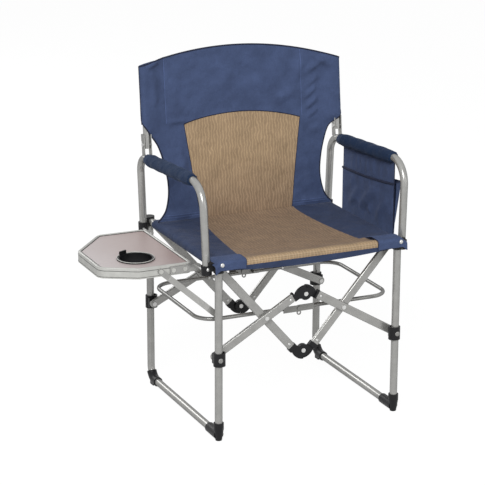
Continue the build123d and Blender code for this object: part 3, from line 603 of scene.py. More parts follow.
def two_cloths(name, facing, navy_colour, mesh_inside, mesh_shade):
    """Navy cloth with a tan mesh where mesh_inside gives more than 0, the mesh darkened by painted shade
    where mesh_shade gives less than 1.
    """
    material, tree, shader = new_material(name)
    place = cloth_place(tree)
    across, up = cloth_axes(tree, place, facing)
    navy, weave = woven_colour(tree, place, across, up, navy_colour)
    # Tan of the mesh, dark with painted shade where mesh_shade gives 0
    mesh_colour_with_painted_shade = tinted(tree, mesh_shade(tree, place), dark=TAN_SHADED, light=TAN)
    tan, holes = open_mesh(tree, place, across, up, mesh_colour_with_painted_shade)
    inside = maths(tree, "GREATER_THAN", mesh_inside(tree, place), 0.0)
    colours = tinted(tree, inside, navy, tan)
    threads = add_node(tree, "ShaderNodeMix", {0: inside, 2: weave, 3: holes}).outputs[0]
    dress_cloth(tree, shader, place, colours, threads, sheen=0.04, tint=PALE_SHEEN)
    return material


def inside_back_mesh(tree, place):
    """How far inside the back's mesh panel a point is: below its arched head and between its sides."""
    x, _, z = split_place(tree, place)
    level = maths(tree, "MULTIPLY_ADD", x, -BACK_TILT, z)
    foot = maths(tree, "SUBTRACT", z, BACK_FOOT_Z)
    half = maths(tree, "MULTIPLY_ADD", foot, BACK_MESH_WIDENING, BACK_MESH_FOOT_HALF)
    beside = maths(tree, "SUBTRACT", half, maths(tree, "ABSOLUTE", x))
    head = maths(tree, "MULTIPLY_ADD", maths(tree, "MULTIPLY", x, x), -BACK_MESH_ARCH, BACK_MESH_CREST_Z)
    return maths(tree, "MINIMUM", beside, maths(tree, "SUBTRACT", head, level))


def back_mesh_painted_shade(tree, place):
    """Share of full colour on the back's mesh: painted shade, darker towards the seat."""
    return ramp(tree, split_place(tree, place)[2], MESH_PAINTED_SHADE_FULL_Z, MESH_PAINTED_SHADE_END_Z)


def inside_seat_mesh(tree, place):
    """How far inside the seat's mesh panel a point is: between its sides, and above the front seam."""
    x, y, z = split_place(tree, place)
    run = maths(tree, "SUBTRACT", SEAT_MESH_REAR_Y, y)
    half = maths(tree, "MULTIPLY_ADD", run, SEAT_MESH_WIDENING, SEAT_MESH_REAR_HALF)
    nose = maths(tree, "LESS_THAN", y, SEAT_NOSE_START_Y)
    half = maths(tree, "MAXIMUM", half, maths(tree, "MULTIPLY", nose, SEAT_NOSE_HALF))
    beside = maths(tree, "SUBTRACT", half, maths(tree, "ABSOLUTE", x))
    behind = maths(tree, "GREATER_THAN", y, SEAM_FRONT_Y)
    above = maths(tree, "ADD", maths(tree, "SUBTRACT", z, NOSE_SEAM_Z), behind)
    return maths(tree, "MINIMUM", beside, above)


def seat_mesh_painted_shade(tree, place):
    """Share of full colour on the seat's mesh: painted shade over the seat, and painted light over the
    front roll.
    """
    return ramp(tree, split_place(tree, place)[1], ROLL_PAINTED_SHADE_Y, ROLL_PAINTED_LIGHT_Y)


tube_finish = coated_metal("silver_coated_tube", SILVER, metallic=0.5, roughness=0.24)
spreader_finish = coated_metal("grey_coated_spreader", scaled(SILVER, 0.78), metallic=0.5, roughness=0.24)
rim_finish = coated_metal("satin_table_rim", RIM_GREY, metallic=0.3, roughness=0.33)
lip_finish = coated_metal("satin_table_lip", scaled(RIM_GREY, 0.92), metallic=0.15, roughness=0.33)
rivet_finish = coated_metal("bright_rivet", BRIGHT, metallic=0.6, roughness=0.3)
black_finish = moulded_plastic("black_moulded_plastic", BLACK, roughness=0.42)
cup_finish = moulded_plastic("black_cup_plastic", scaled(BLACK, 0.7), roughness=0.3)
board_finish = table_board("taupe_table_board")
navy_seat_finish = plain_cloth("navy_canvas_flat", "z")
navy_back_finish = plain_cloth("navy_canvas_upright", "y")
navy_side_finish = plain_cloth("navy_canvas_side", "x", scaled(NAVY, 0.9))
# The pads' cloth, darkened as painted shade
pad_finish = plain_cloth("navy_sleeve_cloth_painted_shade", "x", PAD_NAVY_PAINTED_SHADE)
binding_finish = plain_cloth("dark_binding", "y", NAVY_DARK)
thread_finish = plain_cloth("tan_thread", "y", TAN_THREAD)
seam_finish = plain_cloth("navy_thread", "y", scaled(NAVY, 1.7))
# The back's tan mesh carries painted shade towards its foot
back_finish = two_cloths("back_canvas_and_mesh_painted_shade", "y", NAVY, inside_back_mesh, back_mesh_painted_shade)
# Seat cloth: its navy darkened to 0.62 and its mesh in painted shade, only the front roll painted lit
seat_finish = two_cloths("seat_canvas_and_mesh_painted_shade", "z", scaled(NAVY, 0.62), inside_seat_mesh, seat_mesh_painted_shade)


def finish_of_node(name):
    if name == "table_panel":
        return board_finish
    if name in ("table_rim", "table_rivets"):
        return rim_finish
    if name.endswith("spreader"):
        return spreader_finish
    if name in ("cup_ring", "cup_bail"):
        return cup_finish
    if name.endswith(("pins", "rivet", "rivets", "hinge_pin")):
        return rivet_finish
    if name.endswith(("foot", "knuckles", "elbow", "slider")):
        return black_finish
    return tube_finish


for node_name, node in nodes.items():
    node.data.materials.clear()
    node.data.materials.append(finish_of_node(node_name))


# Making pieces

def add_object(name, data):
    made = bpy.data.objects.new(name, data)
    bpy.context.scene.collection.objects.link(made)
    return made


def keep_places(mesh):
    """Store where each point lies at rest, for the patterns that follow the cloth."""
    places = mesh.attributes.get(REST_PLACE) or mesh.attributes.new(REST_PLACE, "FLOAT_VECTOR", "POINT")
    places.data.foreach_set("vector", [axis for vert in mesh.vertices for axis in vert.co])


def make_piece(name, mesh, finish, body):
    piece = add_object(name, mesh)
    mesh.materials.clear()
    mesh.materials.append(finish)
    mesh.shade_smooth()
    keep_places(mesh)
    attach(piece, body)
    return piece


def mesh_of(name, shape):
    """Mesh of a bmesh, with its doubles merged and its faces turned outwards."""
    bmesh.ops.remove_doubles(shape, verts=shape.verts, dist=MERGE_DISTANCE)
    bmesh.ops.recalc_face_normals(shape, faces=shape.faces)
    mesh = bpy.data.meshes.new(name)
    shape.to_mesh(mesh)
    shape.free()
    return mesh


def sheet_mesh(name, place, columns, rows):
    """Grid of columns by rows, each point put where place(across, along) says, both from 0 to 1."""
    shape = bmesh.new()
    half = 0.5
    bmesh.ops.create_grid(shape, x_segments=columns, y_segments=rows, size=half)
    for vert in shape.verts:
        vert.co = place(vert.co.x + half, vert.co.y + half)
    return mesh_of(name, shape)


def thicken(piece, thickness):
    """Cloth thickness on both sides of a sheet, applied to its mesh."""
    modifier = piece.modifiers.new("thickness", "SOLIDIFY")
    modifier.thickness = thickness
    modifier.offset = 0.0
    modifier.use_even_offset = False
    graph = bpy.context.evaluated_depsgraph_get()
    mesh = bpy.data.meshes.new_from_object(piece.evaluated_get(graph))
    piece.modifiers.clear()
    piece.data = mesh
    keep_places(mesh)
    mesh.shade_smooth()
    mesh.set_sharp_from_angle(angle=SHARP_ANGLE)


def make_cloth(name, place, finish, body, columns, rows, thickness=CLOTH_T):
    """Sheet of cloth whose points lie where place(across, along) says."""
    piece = make_piece(name, sheet_mesh(name, place, columns, rows), finish, body)
    thicken(piece, thickness)
    return piece


def run_mesh(name, points, radius, closed=False):
    """Round bead along points."""
    curve = bpy.data.curves.new(name, "CURVE")
    curve.dimensions = "3D"
    curve.bevel_depth = radius
    curve.bevel_resolution = 2
    curve.use_fill_caps = True
    spline = curve.splines.new("POLY")
    spline.points.add(len(points) - 1)
    for point, place in zip(spline.points, points):
        point.co = (*place, 1)
    spline.use_cyclic_u = closed
    holder = add_object(name, curve)
    graph = bpy.context.evaluated_depsgraph_get()
    mesh = bpy.data.meshes.new_from_object(holder.evaluated_get(graph))
    bpy.data.objects.remove(holder)
    return mesh


def make_run(name, points, radius, finish, body):
    """Binding, piping or thread along points."""
    return make_piece(name, run_mesh(name, points, radius), finish, body)


# Back

def back_half_width(z):
    return smooth_curve(BACK_HALF_WIDTHS, z)


def back_top(x):
    return BACK_CREST_Z - (BACK_CREST_Z - BACK_CORNER_Z) * (x / BACK_EDGE) ** 2


def back_mesh_half(z):
    return BACK_MESH_FOOT_HALF + BACK_MESH_WIDENING * (z - BACK_FOOT_Z)


def mesh_head_z(x):
    """Height of the mesh panel's arched head, before the back's tilt."""
    return BACK_MESH_CREST_Z - BACK_MESH_ARCH * x * x


def back_relief(x, z):
    """How far the back cloth stands in front of its plane."""
    out = sum(crease(x, z, *fold) for fold in BACK_CREASES)
    middle = math.cos(math.pi / 2 * min(abs(x) / HOLLOW_HALF, 1.0))
    out -= BACK_HOLLOW * middle * smooth_step(HOLLOW_FOOT_Z, HOLLOW_FULL_Z, z)
    for _, seam in SLEEVE_SEAMS:
        pull = math.exp(-((x - seam) / SEAM_WIDTH) ** 2)
        out -= SEAM_DEPTH * pull * smooth_step(SEAM_START_Z, SEAM_FULL_Z, z)
    return out


def sleeve_swell(x):
    """Share of the sleeve's full depth, from its seam out over the upright to its edge."""
    reach = abs(x)
    if reach > UPRIGHT_X:
        return math.sqrt(max(1 - ((reach - UPRIGHT_X) / (BACK_EDGE - UPRIGHT_X)) ** 2, 0.0))
    return smooth_step(SLEEVE_SEAM_X, UPRIGHT_X, reach)


def on_back(x, z, out):
    """Point on the leaning back, out in front of its plane."""
    return Vector((
        x,
        HINGE_Y + (z - HINGE_Z) * math.tan(BACK_LEAN) - out * math.cos(BACK_LEAN),
        z + out * math.sin(BACK_LEAN),
    ))


def on_back_front(x, z):
    """Point on the front face of the back cloth."""
    return on_back(x, z, back_relief(x, z) + CLOTH_T / 2)


def back_surface(x, z, front=True):
    """Point on the upper back, on its front or on the rear of its sleeves."""
    level = smooth_step(HINGE_Z, SLEEVE_FOOT_Z, z)
    swell = SLEEVE_BULGE * sleeve_swell(x) * level
    out = swell + back_relief(x, z) if front else -swell
    return on_back(x, z + BACK_TILT * x * level, out)


def back_upper_point(across, along):
    """Point between the strips that wrap the uprights, from the hinge to the top edge."""
    x = BACK_FIXED_X * (2 * across - 1)
    return back_surface(x, HINGE_Z + along * (back_top(x) - HINGE_Z))


def back_lower_point(across, along):
    """Point on the back below the hinge, from its foot up."""
    z = BACK_FOOT_Z + along * (HINGE_Z - BACK_FOOT_Z)
    x = back_half_width(z) * (2 * across - 1)
    return on_back(x, z, back_relief(x, z))


def back_strip_point(side, across, along, front=True):
    """Point on the strip that wraps an upright, from the middle of the back out to its edge."""
    reach = math.sin(math.pi / 2 * across)
    z = HINGE_Z + along * (back_top(BACK_FIXED_X + (BACK_EDGE - BACK_FIXED_X) * reach) - HINGE_Z)
    return back_surface(side * (BACK_FIXED_X + (back_half_width(z) - BACK_FIXED_X) * reach), z, front)


def back_sleeve_point(side, across, along):
    """Point on the rear of an upright's sleeve, which starts above the hinge."""
    foot = (SLEEVE_FOOT_Z - HINGE_Z) / (BACK_CORNER_Z - HINGE_Z)
    return back_strip_point(side, across, foot + along * (1 - foot), front=False)


def seam_point(x, along):
    """Point on a sleeve's seam, on the front of the cloth, from the foot of the sleeve to the top edge."""
    z = SLEEVE_FOOT_Z + along * (back_top(x) - SLEEVE_FOOT_Z)
    return on_back(x, z + BACK_TILT * x, SLEEVE_BULGE * sleeve_swell(x) + back_relief(x, z) + CLOTH_T / 2)


def make_back_strips():
    """Cloth round the two uprights, which keeps its shape when the chair folds."""
    for name, side in SIDES:
        body = f"{name}_back"
        front = partial(back_strip_point, side)
        strip = make_cloth(f"back_{name}_strip", front, back_finish, body, columns=36, rows=84)
        rear = partial(back_sleeve_point, side)
        sleeve = make_cloth(f"back_{name}_sleeve", rear, navy_back_finish, body, columns=30, rows=30)
        edge = [back_strip_point(side, 1, t) for t in steps(36)]
        edge += [back_strip_point(side, 1 - t, 1) for t in steps(12)[1:]]
        make_run(f"back_{name}_strip_binding", edge, BINDING_R, binding_finish, body)


def make_back_cloths():
    """The back above the hinge, between its strips, and below the hinge."""
    upper = make_cloth("back_upper", back_upper_point, back_finish, "left_back", columns=200, rows=84)
    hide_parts("back_upper_cloth")
    lower = make_cloth("back_lower", back_lower_point, back_finish, "left_side", columns=160, rows=72)
    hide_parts("back_lower_cloth")
    return [upper, lower]


def make_back_bindings():
    """Bound top edge between the strips, and the two bound sides below the hinge."""
    rim = [back_upper_point(t, 1) for t in steps(60)]
    pieces = [make_run("back_binding_upper", rim, BINDING_R, binding_finish, "left_back")]
    for name, side in SIDES:
        edge = [back_lower_point((1 + side) / 2, t) for t in steps(36)]
        pieces.append(make_run(f"back_binding_{name}", edge, BINDING_R, binding_finish, "left_side"))
    return pieces


def make_back_stitches():
    """Seams of the sleeves, and two rows along the foot of each navy side."""
    pieces = []
    for name, seam in SLEEVE_SEAMS:
        points = [seam_point(seam, t) for t in steps(40)]
        pieces.append(make_run(f"back_{name}_seam", points, SEAM_THREAD_R, seam_finish, "left_back"))
    for name, side in SIDES:
        for row, z in enumerate(FOOT_STITCHES):
            inner = back_mesh_half(z)
            reach = back_half_width(z) - FOOT_STITCH_MARGIN - inner
            points = [on_back_front(side * (inner + reach * t), z) for t in steps(30)]
            label = f"back_{name}_foot_stitch_{row}"
            pieces.append(make_run(label, points, SEAM_THREAD_R, seam_finish, "left_side"))
    return pieces


def make_back_piping():
    """Dark seam round the tan mesh: its arched head and its two sides."""
    arch = [MESH_HEAD_HALF * (2 * t - 1) for t in steps(48)]
    head = [on_back_front(x, mesh_head_z(x) + BACK_TILT * x) for x in arch]
    pieces = [make_run("back_mesh_head", head, HEAD_PIPING_R, binding_finish, "left_back")]
    for name, side in SIDES:
        top = mesh_head_z(MESH_HEAD_HALF) - MESH_CORNER_TILT * side
        parts = (("low", BACK_FOOT_Z, HINGE_Z, "left_side"), ("high", HINGE_Z, top, "left_back"))
        for part, low, high, body in parts:
            heights = [low + (high - low) * t for t in steps(20)]
            points = [on_back_front(side * back_mesh_half(z), z) for z in heights]
            pieces.append(make_run(f"back_mesh_{name}_{part}", points, SIDE_PIPING_R, binding_finish, body))
    return pieces


def make_back():
    for piece in make_back_cloths() + make_back_bindings() + make_back_stitches() + make_back_piping():
        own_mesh(piece)


# Seat

def seat_height(x, y):
    """Height of the stretched seat: it sags between the rails and rises to the front hem and the back."""
    middle = smooth_curve(SEAT_PROFILE, y)
    share = smooth_step(SIDE_RISE_START_X, SIDE_RISE_END_X, abs(x))
    share *= smooth_step(SIDE_RISE_FRONT_Y, SIDE_RISE_REAR_Y, y)
    ridge = sum(crease(x, y, *fold) for fold in SEAT_CREASES)
    return middle + (RAIL_Z + SLEEVE_R - middle) * share + ridge * (1 - share)


def hem_z(x):
    return HEM_MIDDLE_Z + HEM_RISE * (x / NOSE_EDGE_X) ** 2


def seat_point(across, along):
    """Middle of the seat, from the back over the front edge to the foot of the hem."""
    x = NOSE_EDGE_X * (2 * across - 1)
    nose_y = NOSE_FRONT_Y + NOSE_R
    if along <= SEAT_FLAT_END:
        y = SEAT_REAR_Y + (nose_y - SEAT_REAR_Y) * along / SEAT_FLAT_END
        return Vector((x, y, seat_height(x, y)))
    top = seat_height(x, nose_y)
    if along <= SEAT_NOSE_END:
        turn = math.pi / 2 * (along - SEAT_FLAT_END) / (SEAT_NOSE_END - SEAT_FLAT_END)
        return Vector((x, nose_y - NOSE_R * math.sin(turn), top - NOSE_R * (1 - math.cos(turn))))
    share = (along - SEAT_NOSE_END) / (1 - SEAT_NOSE_END)
    return Vector((x, NOSE_FRONT_Y, top - NOSE_R + (hem_z(x) - top + NOSE_R) * share))


def sleeve_outline(share):
    """Section of a side sleeve from the seat's edge over its rail and back under it: across and height."""
    if share < SLEEVE_OVER_END:
        return NOSE_EDGE_X + (LEG_X - NOSE_EDGE_X) * share / SLEEVE_OVER_END, RAIL_Z + SLEEVE_R
    if share < SLEEVE_UNDER_START:
        turn = math.pi * (share - SLEEVE_OVER_END) / (SLEEVE_UNDER_START - SLEEVE_OVER_END)
        return LEG_X + SLEEVE_R * math.sin(turn), RAIL_Z + SLEEVE_R * math.cos(turn)
    tucked = (share - SLEEVE_UNDER_START) / (1 - SLEEVE_UNDER_START)
    return LEG_X - SLEEVE_TUCK * tucked, RAIL_Z - SLEEVE_R


def seat_sleeve_point(side, across, along):
    """Point on a side sleeve, whose inner edge meets the middle of the seat."""
    x, z = sleeve_outline(across)
    y = SLEEVE_REAR_Y + (SLEEVE_FRONT_Y - SLEEVE_REAR_Y) * along
    if across == 0:
        z = seat_height(x, y)
    return Vector((side * x, y, z))


def make_seat_sleeves():
    """Cloth round the two seat rails, which keeps its shape when the chair folds."""
    for name, side in SIDES:
        body = f"{name}_side"
        point = partial(seat_sleeve_point, side)
        sleeve = make_cloth(f"seat_{name}_sleeve", point, seat_finish, body, columns=30, rows=80)


def make_seat():
    """Middle of the seat and the stitches along its front edge."""
    seat = make_cloth("seat", seat_point, seat_finish, "left_side", columns=96, rows=110)
    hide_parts("seat_cloth")
    pieces = [seat]
    inner = (1 - SEAT_NOSE_HALF / NOSE_EDGE_X) / 2
    for name, along in NOSE_STITCHES:
        points = [seat_point(inner + (1 - 2 * inner) * t, along) + STITCH_LIFT for t in steps(40)]
        pieces.append(make_run(f"seat_{name}_stitch", points, NOSE_THREAD_R, thread_finish, "left_side"))
    for piece in pieces:
        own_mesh(piece)


# Corner caps

def cap_point(side, across, along):
    """Folded corner of the seat cloth over a front knuckle, from its rear edge over the top to its foot."""
    x = CAP_IN_X + (CAP_OUT_X - CAP_IN_X) * across
    drop = CAP_DROP * smooth_step(CAP_DROP_START, 1.0, across)
    if along < CAP_BEND_START:
        share = along / CAP_BEND_START
        y = CAP_REAR_Y + (CAP_FRONT_Y + CAP_R - CAP_REAR_Y) * share
        z = CAP_REAR_Z + (CAP_TOP_Z - CAP_REAR_Z) * smooth_step(0.0, CAP_RISE_END, share)
    elif along < CAP_BEND_END:
        turn = math.pi / 2 * (along - CAP_BEND_START) / (CAP_BEND_END - CAP_BEND_START)
        y = CAP_FRONT_Y + CAP_R * (1 - math.sin(turn))
        z = CAP_TOP_Z - CAP_R * (1 - math.cos(turn))
    else:
        share = (along - CAP_BEND_END) / (1 - CAP_BEND_END)
        y = CAP_FRONT_Y
        z = CAP_TOP_Z - CAP_R + (CAP_FOOT_Z + CAP_FOOT_CLIMB * across - CAP_TOP_Z + CAP_R) * share
    wave = CAP_WAVE * math.sin(CAP_WAVES_ACROSS * across + CAP_WAVES_ALONG * along)
    return Vector((side * x, y - wave, z - drop + wave))


def make_caps():
    for name, side in SIDES:
        body = f"{name}_side"
        point = partial(cap_point, side)
        cap = make_cloth(f"{name}_corner_cap", point, navy_seat_finish, body, columns=28, rows=40)
        edge = [cap_point(side, 0, t) for t in steps(30)]
        edge += [cap_point(side, t, 1) for t in steps(20)[1:]]
        make_run(f"{name}_cap_binding", edge, CAP_BINDING_R, binding_finish, body)


# Arm pads

def arm_axis(y):
    """Point on the right arm rest's axis."""
    rise = ARM_REAR_RISE + ARM_CLIMB * (ARM_REAR_Y - y)
    return Vector((PAD_ARM_X + rise * math.sin(PAD_SPLAY), y, PAD_BASE_Z + rise * math.cos(PAD_SPLAY)))


def pad_radius(around, along):
    """Radius of a stuffed sleeve: gathered ends, a full middle, soft waves and a sewn seam underneath."""
    turn = math.tau * around
    end = min(along, 1 - along)
    full = PAD_END_R + (PAD_FULL_R - PAD_END_R) * smooth_step(0.0, PAD_SWELL_END, end)
    closing = math.sqrt(min(end / PAD_CLOSE_END, 1.0))
    gathers = GATHER_DEPTH * math.exp(-end / GATHER_REACH) * math.sin(GATHER_COUNT * turn)
    waves = PAD_WAVE * math.sin(PAD_WAVES_AROUND * turn + PAD_WAVES_ALONG * along)
    seam = PAD_SEAM_DEPTH * math.exp(-((around - PAD_SEAM_AT) / PAD_SEAM_WIDTH) ** 2)
    return (
        TUBE_R + PAD_TUBE_GAP + (full - TUBE_R) * closing
        + gathers * min(end / GATHER_START, 1.0)
        + (waves - seam) * min(end / PAD_WRINKLE_END, 1.0)
    )


def pad_point(side, around, along):
    """Point on the sleeve round an arm rest, from its front end."""
    turn = math.tau * around
    out = Vector((math.sin(turn), 0, math.cos(turn))) * pad_radius(around, along)
    point = arm_axis(PAD_FRONT_Y + (PAD_REAR_Y - PAD_FRONT_Y) * along) + out
    return Vector((side * point.x, point.y, point.z))


def make_pads():
    for name, side in SIDES:
        mesh = sheet_mesh(f"{name}_pad", partial(pad_point, side), columns=72, rows=150)
        pad = make_piece(f"{name}_pad", mesh, pad_finish, f"{name}_side")
        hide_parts(f"{name}_arm_pad")


# Arm pocket

def pocket_y(across):
    return POCKET_FRONT_Y + (POCKET_REAR_Y - POCKET_FRONT_Y) * across


def pocket_foot(y):
    return POCKET_FOOT_Z + (POCKET_REAR_Y - y) * POCKET_FOOT_CLIMB


def elastic_z(y):
    """Height of the elastic mouth of the inner pocket."""
    share = (POCKET_REAR_Y - y) / (POCKET_REAR_Y - POCKET_FRONT_Y)
    sag = ELASTIC_SAG * math.sin(math.pi * share)
    return ELASTIC_REAR_Z + (ELASTIC_FRONT_Z - ELASTIC_REAR_Z) * share - sag


def pocket_relief(y, z):
    return POCKET_FULLNESS * sum(crease(y, z, *fold) for fold in POCKET_CREASES)


def pocket_panel_point(across, along):
    """Panel that hangs from the pad."""
    y = pocket_y(across)
    top = arm_axis(y).z - PAD_FULL_R + POCKET_TUCK
    z = pocket_foot(y) + (top - pocket_foot(y)) * along
    return Vector((POCKET_X - pocket_relief(y, z) * PANEL_RELIEF, y, z))


def pocket_inner_point(across, along):
    """Flat inner pocket on the side towards the seat, up to its bound mouth."""
    y = pocket_y(across)
    z = pocket_foot(y) + (elastic_z(y) - pocket_foot(y)) * along
    swell = INNER_GAP + INNER_SWELL * math.sin(math.pi * across) * along
    return Vector((POCKET_X - swell - pocket_relief(y, z), y, z))


def pouch_point(across, along):
    """Outer pouch: it leaves the panel at the sides and stands open at its mouth."""
    y = pocket_y(across)
    z = pocket_foot(y) + (elastic_z(y) + POUCH_RISE - pocket_foot(y)) * along
    side = smooth_step(0.0, POUCH_EDGE, min(across, 1 - across))
    depth = (POUCH_DEPTH - POUCH_GAP) * (POUCH_EDGE_SHARE + (1 - POUCH_EDGE_SHARE) * side)
    out = POUCH_GAP + depth * along ** POUCH_FLARE
    return Vector((POCKET_X + out + POUCH_RELIEF * pocket_relief(y, z) * side, y, z))


def make_pocket():
    body = "right_side"
    for name, point, rows, flat in (
        ("pocket_panel", pocket_panel_point, 60, (0.273, 0.172)),
        ("pocket_inner", pocket_inner_point, 50, (0.273, 0.122)),
        ("pocket_pouch", pouch_point, 50, (0.29, 0.13)),
    ):
        piece = make_cloth(name, point, navy_side_finish, body, columns=70, rows=rows,
                           thickness=POCKET_CLOTH_T)
        if name == "pocket_panel":
            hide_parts("arm_pocket")
    for name, points, radius in (
        ("mouth", [pocket_inner_point(t, 1) - MOUTH_LIFT for t in steps(40)], 0.0031),
        ("lip", [pouch_point(t, 1) for t in steps(60)], 0.0016),
        ("front_edge", [pocket_panel_point(0, t) for t in steps(24)], 0.0013),
        ("rear_edge", [pocket_panel_point(1, t) for t in steps(24)], 0.0013),
    ):
        make_run(f"pocket_{name}_binding", points, radius, binding_finish, body)


# Table edge

def table_edge(inset, z):
    """Points round the table, a distance inside its outline."""
    points = []
    for i, (corner, radius) in enumerate(TABLE_CORNERS):
        here = Vector(corner)
        behind = (Vector(TABLE_CORNERS[i - 1][0]) - here).normalized()
        ahead = (Vector(TABLE_CORNERS[(i + 1) % len(TABLE_CORNERS)][0]) - here).normalized()
        half = behind.angle(ahead) / 2
        middle = here + (behind + ahead).normalized() * radius / math.sin(half)
        start = (here + behind * radius / math.tan(half) - middle).normalized()
        end = (here + ahead * radius / math.tan(half) - middle).normalized()
        points += [(*(middle + start.slerp(end, t) * (radius - inset)), z) for t in steps(8)]
    return points


def make_table_edge():
    """Rolled lip on the rim, the dark joint beside the board, and two black lines round the rim's face that
    paint the shade below the lip and along its foot.
    """
    for name, inset, drop, radius, finish, slot in (
        ("lip", 0.0040, 0.0018, 0.0040, lip_finish, "table_edge"),
        ("joint", 0.0085, 0.0002, 0.0008, black_finish, "black_plastic"),
        # Two black beads that paint the shade below the lip and along the rim's foot
        ("painted_shade_line", 0.0002, 0.0062, 0.0007, black_finish, "black_plastic"),
        ("foot_painted_shade_line", 0.0002, 0.0215, 0.0006, black_finish, "black_plastic"),
    ):
        label = f"table_rim_{name}"
        mesh = run_mesh(label, table_edge(inset, TABLE_TOP_Z - drop), radius, closed=True)
        make_piece(label, mesh, finish, "table")


def make_cup_painted_highlight():
    """Pale ring round the cup holder's flange: a painted highlight on its rounded edge."""
    turns = [math.tau * i / CUP_LIP_POINTS for i in range(CUP_LIP_POINTS)]
    points = [(CUP_X + CUP_LIP_R * math.cos(a), CUP_Y + CUP_LIP_R * math.sin(a), CUP_LIP_Z) for a in turns]
    mesh = run_mesh("cup_painted_highlight", points, CUP_LIP_WIRE_R, closed=True)
    make_piece("cup_painted_highlight", mesh, lip_finish, "table")


# Rivets that show on the cloth, the bars, the sliders and the knuckles

def rivet_mesh(name, place, radius, height):
    """Domed rivet head, spun about its own axis."""
    shape = bmesh.new()
    profile = [Vector((radius, 0, -height / 2))]
    for t in steps(6):
        turn = math.pi / 2 * t
        profile.append(Vector((radius * math.cos(turn), 0, height * math.sin(turn))))
    verts = [shape.verts.new(point) for point in profile]
    edges = [shape.edges.new(pair) for pair in zip(verts, verts[1:])]
    bmesh.ops.spin(shape, geom=verts + edges, cent=(0, 0, 0), axis=(0, 0, 1), angle=math.tau, steps=20,
                   use_merge=True)
    facing = Vector((0, 0, 1)).rotation_difference(Vector(FORWARD)).to_matrix().to_4x4()
    bmesh.ops.transform(shape, matrix=Matrix.Translation(place) @ facing, verts=shape.verts)
    return mesh_of(name, shape)


def make_rivet(name, side, place, radius, height, body, finish=rivet_finish):
    """Rivet at a place on the right side, or at its mirror image on the left."""
    x, y, z = place
    mesh = rivet_mesh(name, (side * x, y, z), radius, height)
    make_piece(name, mesh, finish, body)


def bar_rivet_place(pivot_z, elbow_z, offset):
    """Place across and up of the rivet that holds an elbow's plug in the right bar's end."""
    span = math.hypot(LEG_X, elbow_z - pivot_z)
    turn = math.asin(offset / span)
    angle = math.atan2(elbow_z - pivot_z, -LEG_X) + turn
    along = span * math.cos(turn) - ELBOW_REACH - BAR_RIVET_INSET
    return LEG_X + along * math.cos(angle), pivot_z + along * math.sin(angle)


def make_rivets():
    for name, side in SIDES:
        frame_side = f"{name}_side"
        make_rivet(f"{name}_cap_rivet", side, CAP_RIVET, radius=0.0052, height=0.0028, body=frame_side)
        make_rivet(f"{name}_slider_rivet", side, SLIDER_RIVET, radius=0.0062, height=0.0016,
                   body=f"front_{name}_slider", finish=spreader_finish)
        for end, bar, y, pivot_z, elbow_z, offset in BAR_SIZES:
            x, z = bar_rivet_place(pivot_z, elbow_z, offset)
            make_rivet(f"{end}_{name}_{bar}_bar_rivet", side, (x, y - BAR_RIVET_LIFT, z), radius=0.0034,
                       height=0.0014, body=f"{end}_{name}_{bar}")
        make_rivet(f"{name}_knuckle_rivet", side, KNUCKLE_RIVET, radius=0.0045, height=0.0022,
                   body=frame_side)


# Scene

def make_camera():
    data = bpy.data.cameras.new("view")
    data.sensor_width = SENSOR_MM
    data.lens = SENSOR_MM * FOCAL_PIXELS / FRAME_PIXELS
    data.clip_end = VIEW_REACH
    camera = add_object("view", data)
    turn = (
        Matrix.Rotation(VIEW_AZIMUTH, 4, "Z")
        @ Matrix.Rotation(math.pi / 2 - VIEW_ELEVATION, 4, "X")
        @ Matrix.Rotation(VIEW_ROLL, 4, "Z")
    )
    right, up, back = (turn.col[i].to_3d() for i in range(3))
    place = -(VIEW_OFFSET[0] * right + VIEW_OFFSET[1] * up - VIEW_OFFSET[2] * back)
    camera.matrix_world = Matrix.Translation(place) @ turn
    bpy.context.scene.camera = camera


def seen_or_lit(tree, seen, lit):
    """Shader that camera, mirror and glass rays get as seen, and other rays as lit."""
    path = add_node(tree, "ShaderNodeLightPath", {}).outputs
    looks = maths(tree, "MAXIMUM", path["Is Camera Ray"], path["Is Glossy Ray"])
    looks = maths(tree, "MAXIMUM", looks, path["Is Transmission Ray"])
    return add_node(tree, "ShaderNodeMixShader", {0: looks, 1: lit, 2: seen}).outputs[0]


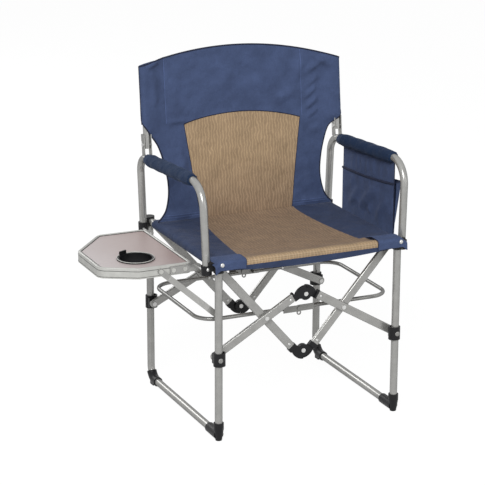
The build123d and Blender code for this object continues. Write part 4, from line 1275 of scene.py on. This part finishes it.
def make_world():
    world = bpy.data.worlds.new("studio")
    world.use_nodes = True
    bpy.context.scene.world = world
    tree = world.node_tree
    tree.nodes.clear()
    seen = add_node(tree, "ShaderNodeBackground", {"Color": WHITE, "Strength": WORLD_SEEN}).outputs[0]
    lit = add_node(tree, "ShaderNodeBackground", {"Color": WHITE, "Strength": WORLD_LIGHT}).outputs[0]
    add_node(tree, "ShaderNodeOutputWorld", {"Surface": seen_or_lit(tree, seen, lit)})


def make_floor():
    shape = bmesh.new()
    bmesh.ops.create_grid(shape, x_segments=1, y_segments=1, size=FLOOR_HALF)
    mesh = mesh_of("floor", shape)
    floor = add_object("floor", mesh)
    material = bpy.data.materials.new("pale_floor")
    material.use_nodes = True
    tree = material.node_tree
    tree.nodes.clear()
    matt = add_node(tree, "ShaderNodeBsdfDiffuse", {"Color": FLOOR_GREY}).outputs[0]
    glow = add_node(tree, "ShaderNodeEmission", {"Color": WHITE, "Strength": FLOOR_GLOW}).outputs[0]
    pale = add_node(tree, "ShaderNodeMixShader", {0: FLOOR_GLOW_SHARE, 1: matt, 2: glow}).outputs[0]
    add_node(tree, "ShaderNodeOutputMaterial", {"Surface": seen_or_lit(tree, pale, matt)})
    mesh.materials.append(material)


def make_lamp(name, place, target, size, power):
    data = bpy.data.lights.new(name, "AREA")
    data.shape = "DISK"
    data.size = size
    data.energy = power
    lamp = add_object(name, data)
    lamp.location = place
    lamp.rotation_euler = (Vector(target) - Vector(place)).to_track_quat("-Z", "Y").to_euler()


make_camera()
make_back_strips()
make_back()
make_seat_sleeves()
make_seat()
make_caps()
make_pads()
make_pocket()
make_table_edge()
make_cup_painted_highlight()
make_rivets()
make_world()
make_floor()
make_lamp("key", place=(-2.4, -3.6, 3.6), target=(0, 0, 0.5), size=2.4, power=218)
make_lamp("fill", place=(2.2, -3.6, 1.4), target=(0, 0, 0.5), size=2.4, power=16)
make_lamp("rear", place=(-1.1, 3.9, 2.3), target=(0, 0, 0.3), size=1.8, power=44)
bpy.context.scene.view_settings.view_transform = "Standard"
